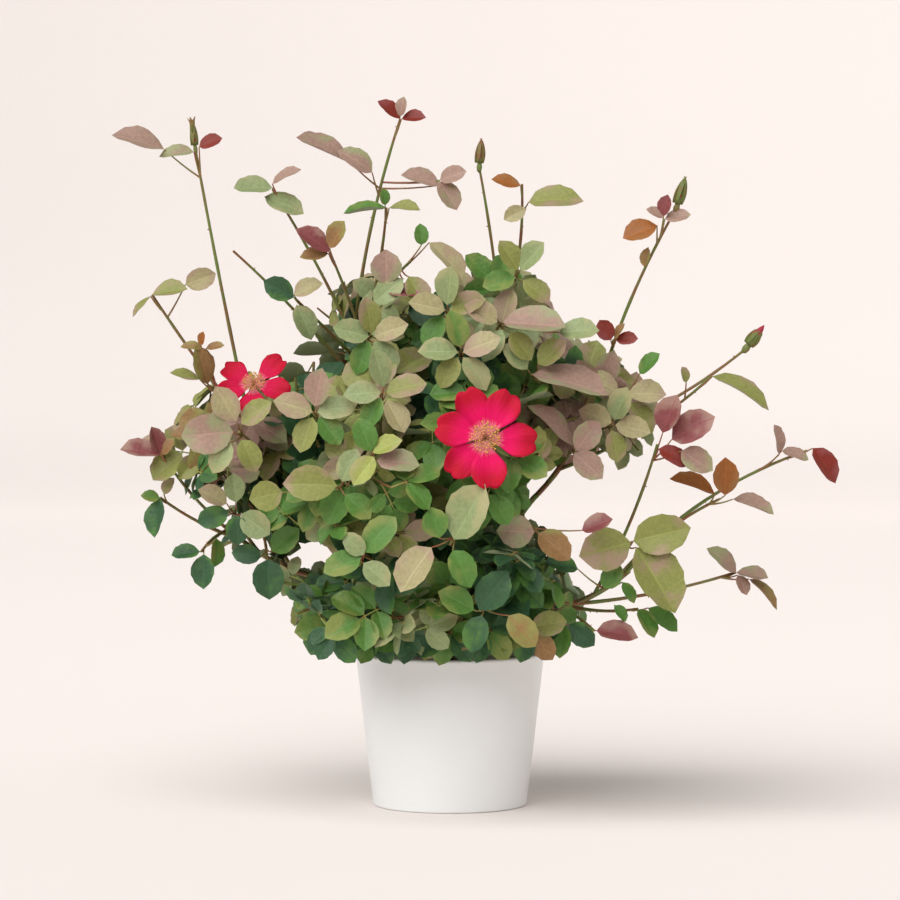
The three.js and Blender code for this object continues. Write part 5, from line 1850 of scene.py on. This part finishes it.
class ROSE_OT_buds(bpy.types.Operator):
    """Makes the buds at the tips of the long shoots"""
    bl_idname = "rose.buds"
    bl_label = "Buds"

    def execute(self, context):
        plant = grown_plant()
        green_parts, red_parts = [], []
        for tip, heading, length, opened in plant.buds:
            size = length / BUD_LENGTH
            girth = size * lerp(0.72, 0.92, opened)
            swell = lerp(0.78, 1.22, max(0, opened))
            hip = revolved([(r * girth, h * size) for r, h in HIP], 12)
            body = revolved([(r * girth, h * size * swell) for r, h in BUD], 16,
                            lambda row, angle: 1 + 0.06 * math.sin(5 * angle))
            green_parts.append(turned_shape(hip, tip, heading))
            red_parts.append(turned_shape(body, tip, heading))
            for k in range(5):
                side = turned_about(heading, 72 * k)
                base = tip + heading * 0.0034 * size + side * 0.0026 * girth
                way = unit(heading + side * lerp(0.02, 0.12, opened))
                width = lerp(0.0088, 0.0076, opened) * girth
                green_parts.append(sepal_shape(base, way, side, lerp(0.0185, 0.0135, opened) * size, width))
        green = twig_finish("bud_green", linear(0x6E8443), linear(0x93583F))
        red = twig_finish("bud_red", linear(0x9C1F38), linear(0xB33446))
        add_piece("bud_sepals", joined(green_parts), green, "bark")
        add_piece("bud_petals", joined(red_parts), red, "petal")
        return {"FINISHED"}


# ------------ stage


FLOOR = {"flat": 4.5, "curve": 3.0, "below": 0.0002}
# How the floor darkens with its distance from the bush, as painted shade against the light that grows
# brighter there: from, to and the share that is left.
FLOOR_SHADES = ((0.4, 4.6, 0.89), (4.4, 5.2, 0.88), (5.4, 6.6, 0.92))
SUN = {"towards": (-0.52, -0.78, 0.92), "spread": 75, "strength": 3.42}
AMBIENT = 0.27


def floor_finish(colour):
    """The floor, with painted shade: it darkens with distance, where the light on it grows brighter, so that
    the floor and the backdrop look alike.
    """
    finish = Finish("floor", Roughness=0.9, Specular_IOR_Level=0.1)
    away = finish.node("ShaderNodeVectorMath", {"operation": "LENGTH"}, {"Vector": finish.place}, "Value")
    even = finish.mix(finish.noise(3, 1), colour, shaded(colour, 0.995))
    # Painted shade: each ring darkens the floor against the brighter light there.
    for nearest, farthest, share in FLOOR_SHADES:
        even = finish.mix(finish.step(away, nearest, farthest) * (1 - share), even, (0.0, 0.0, 0.0))
    finish.feed("Base Color", even)
    return finish.material


class ROSE_OT_stage(bpy.types.Operator):
    """Makes the pale floor, the soft light and the camera"""
    bl_idname = "rose.stage"
    bl_label = "Stage"

    def execute(self, context):
        stage = context.scene.rose_stage
        low, flat, curve = -FLOOR["below"], FLOOR["flat"], FLOOR["curve"]
        bowl = [(radius, low) for radius in (0, 0.5, 2.0, flat)]
        bowl += [(flat + curve * math.sin(a), low + curve * (1 - math.cos(a)))
                 for a in np.linspace(0.1, math.pi / 2, 16)]
        mesh = mesh_of("floor", *revolved(bowl, 72), [floor_finish(stage.floor)])
        add_object("floor", mesh)
        world = bpy.data.worlds.new("studio")
        world.use_nodes = True
        background = world.node_tree.nodes["Background"].inputs
        background["Color"].default_value = (1.0, 1.0, 1.0, 1)
        background["Strength"].default_value = AMBIENT
        context.scene.world = world
        self.add_sun(context)
        context.scene.view_settings.view_transform = "Standard"
        self.add_camera(context, stage)
        return {"FINISHED"}

    def add_sun(self, context):
        """One soft distant light."""
        lamp = bpy.data.lights.new("key", "SUN")
        lamp.angle = math.radians(SUN["spread"])
        lamp.energy = SUN["strength"]
        sun = bpy.data.objects.new("key", lamp)
        back = unit(np.array(SUN["towards"]))
        right = unit(np.cross(UP, back))
        rows = np.stack((right, np.cross(back, right), back), axis=1)
        sun.matrix_world = Matrix(rows.tolist()).to_4x4()
        context.scene.collection.objects.link(sun)

    def add_camera(self, context, stage):
        data = bpy.data.cameras.new("camera")
        data.lens = stage.lens
        data.sensor_width = 36.0
        data.sensor_fit = "HORIZONTAL"
        away = stage.across * stage.lens / data.sensor_width
        camera = bpy.data.objects.new("camera", data)
        camera.location = (0, -away * math.cos(stage.rise), stage.height + away * math.sin(stage.rise))
        camera.rotation_euler = (math.pi / 2 - stage.rise, 0, 0)
        context.scene.collection.objects.link(camera)
        context.scene.camera = camera


# ------------ panel and main


OPERATORS = (ROSE_OT_stage, ROSE_OT_pot, ROSE_OT_compost, ROSE_OT_limbs, ROSE_OT_twigs, ROSE_OT_leaves,
             ROSE_OT_blooms, ROSE_OT_buds)
SETTINGS = {"rose_pot": PotSettings, "rose_limbs": LimbSettings, "rose_leaves": LeafSettings,
            "rose_blooms": BloomSettings, "rose_stage": StageSettings}


class ROSE_PT_panel(bpy.types.Panel):
    """Lists the bush's pieces and their settings"""
    bl_idname = "ROSE_PT_panel"
    bl_label = "Rose Bush"
    bl_space_type = "VIEW_3D"
    bl_region_type = "UI"
    bl_category = "Rose Bush"

    def draw(self, context):
        for operator in OPERATORS:
            self.layout.operator(operator.bl_idname)
        for name in SETTINGS:
            settings = getattr(context.scene, name)
            box = self.layout.box()
            for key in settings.bl_rna.properties.keys():
                if key not in ("rna_type", "name"):
                    box.prop(settings, key)


CLASSES = (*SETTINGS.values(), *OPERATORS, ROSE_PT_panel)


def register():
    for cls in CLASSES:
        bpy.utils.register_class(cls)
    for name, cls in SETTINGS.items():
        setattr(bpy.types.Scene, name, PointerProperty(type=cls))


def unregister():
    for name in SETTINGS:
        delattr(bpy.types.Scene, name)
    for cls in reversed(CLASSES):
        bpy.utils.unregister_class(cls)


def main():
    register()
    for operator in OPERATORS:
        group, name = operator.bl_idname.split(".")
        getattr(getattr(bpy.ops, group), name)()


if __name__ == "__main__":
    main()
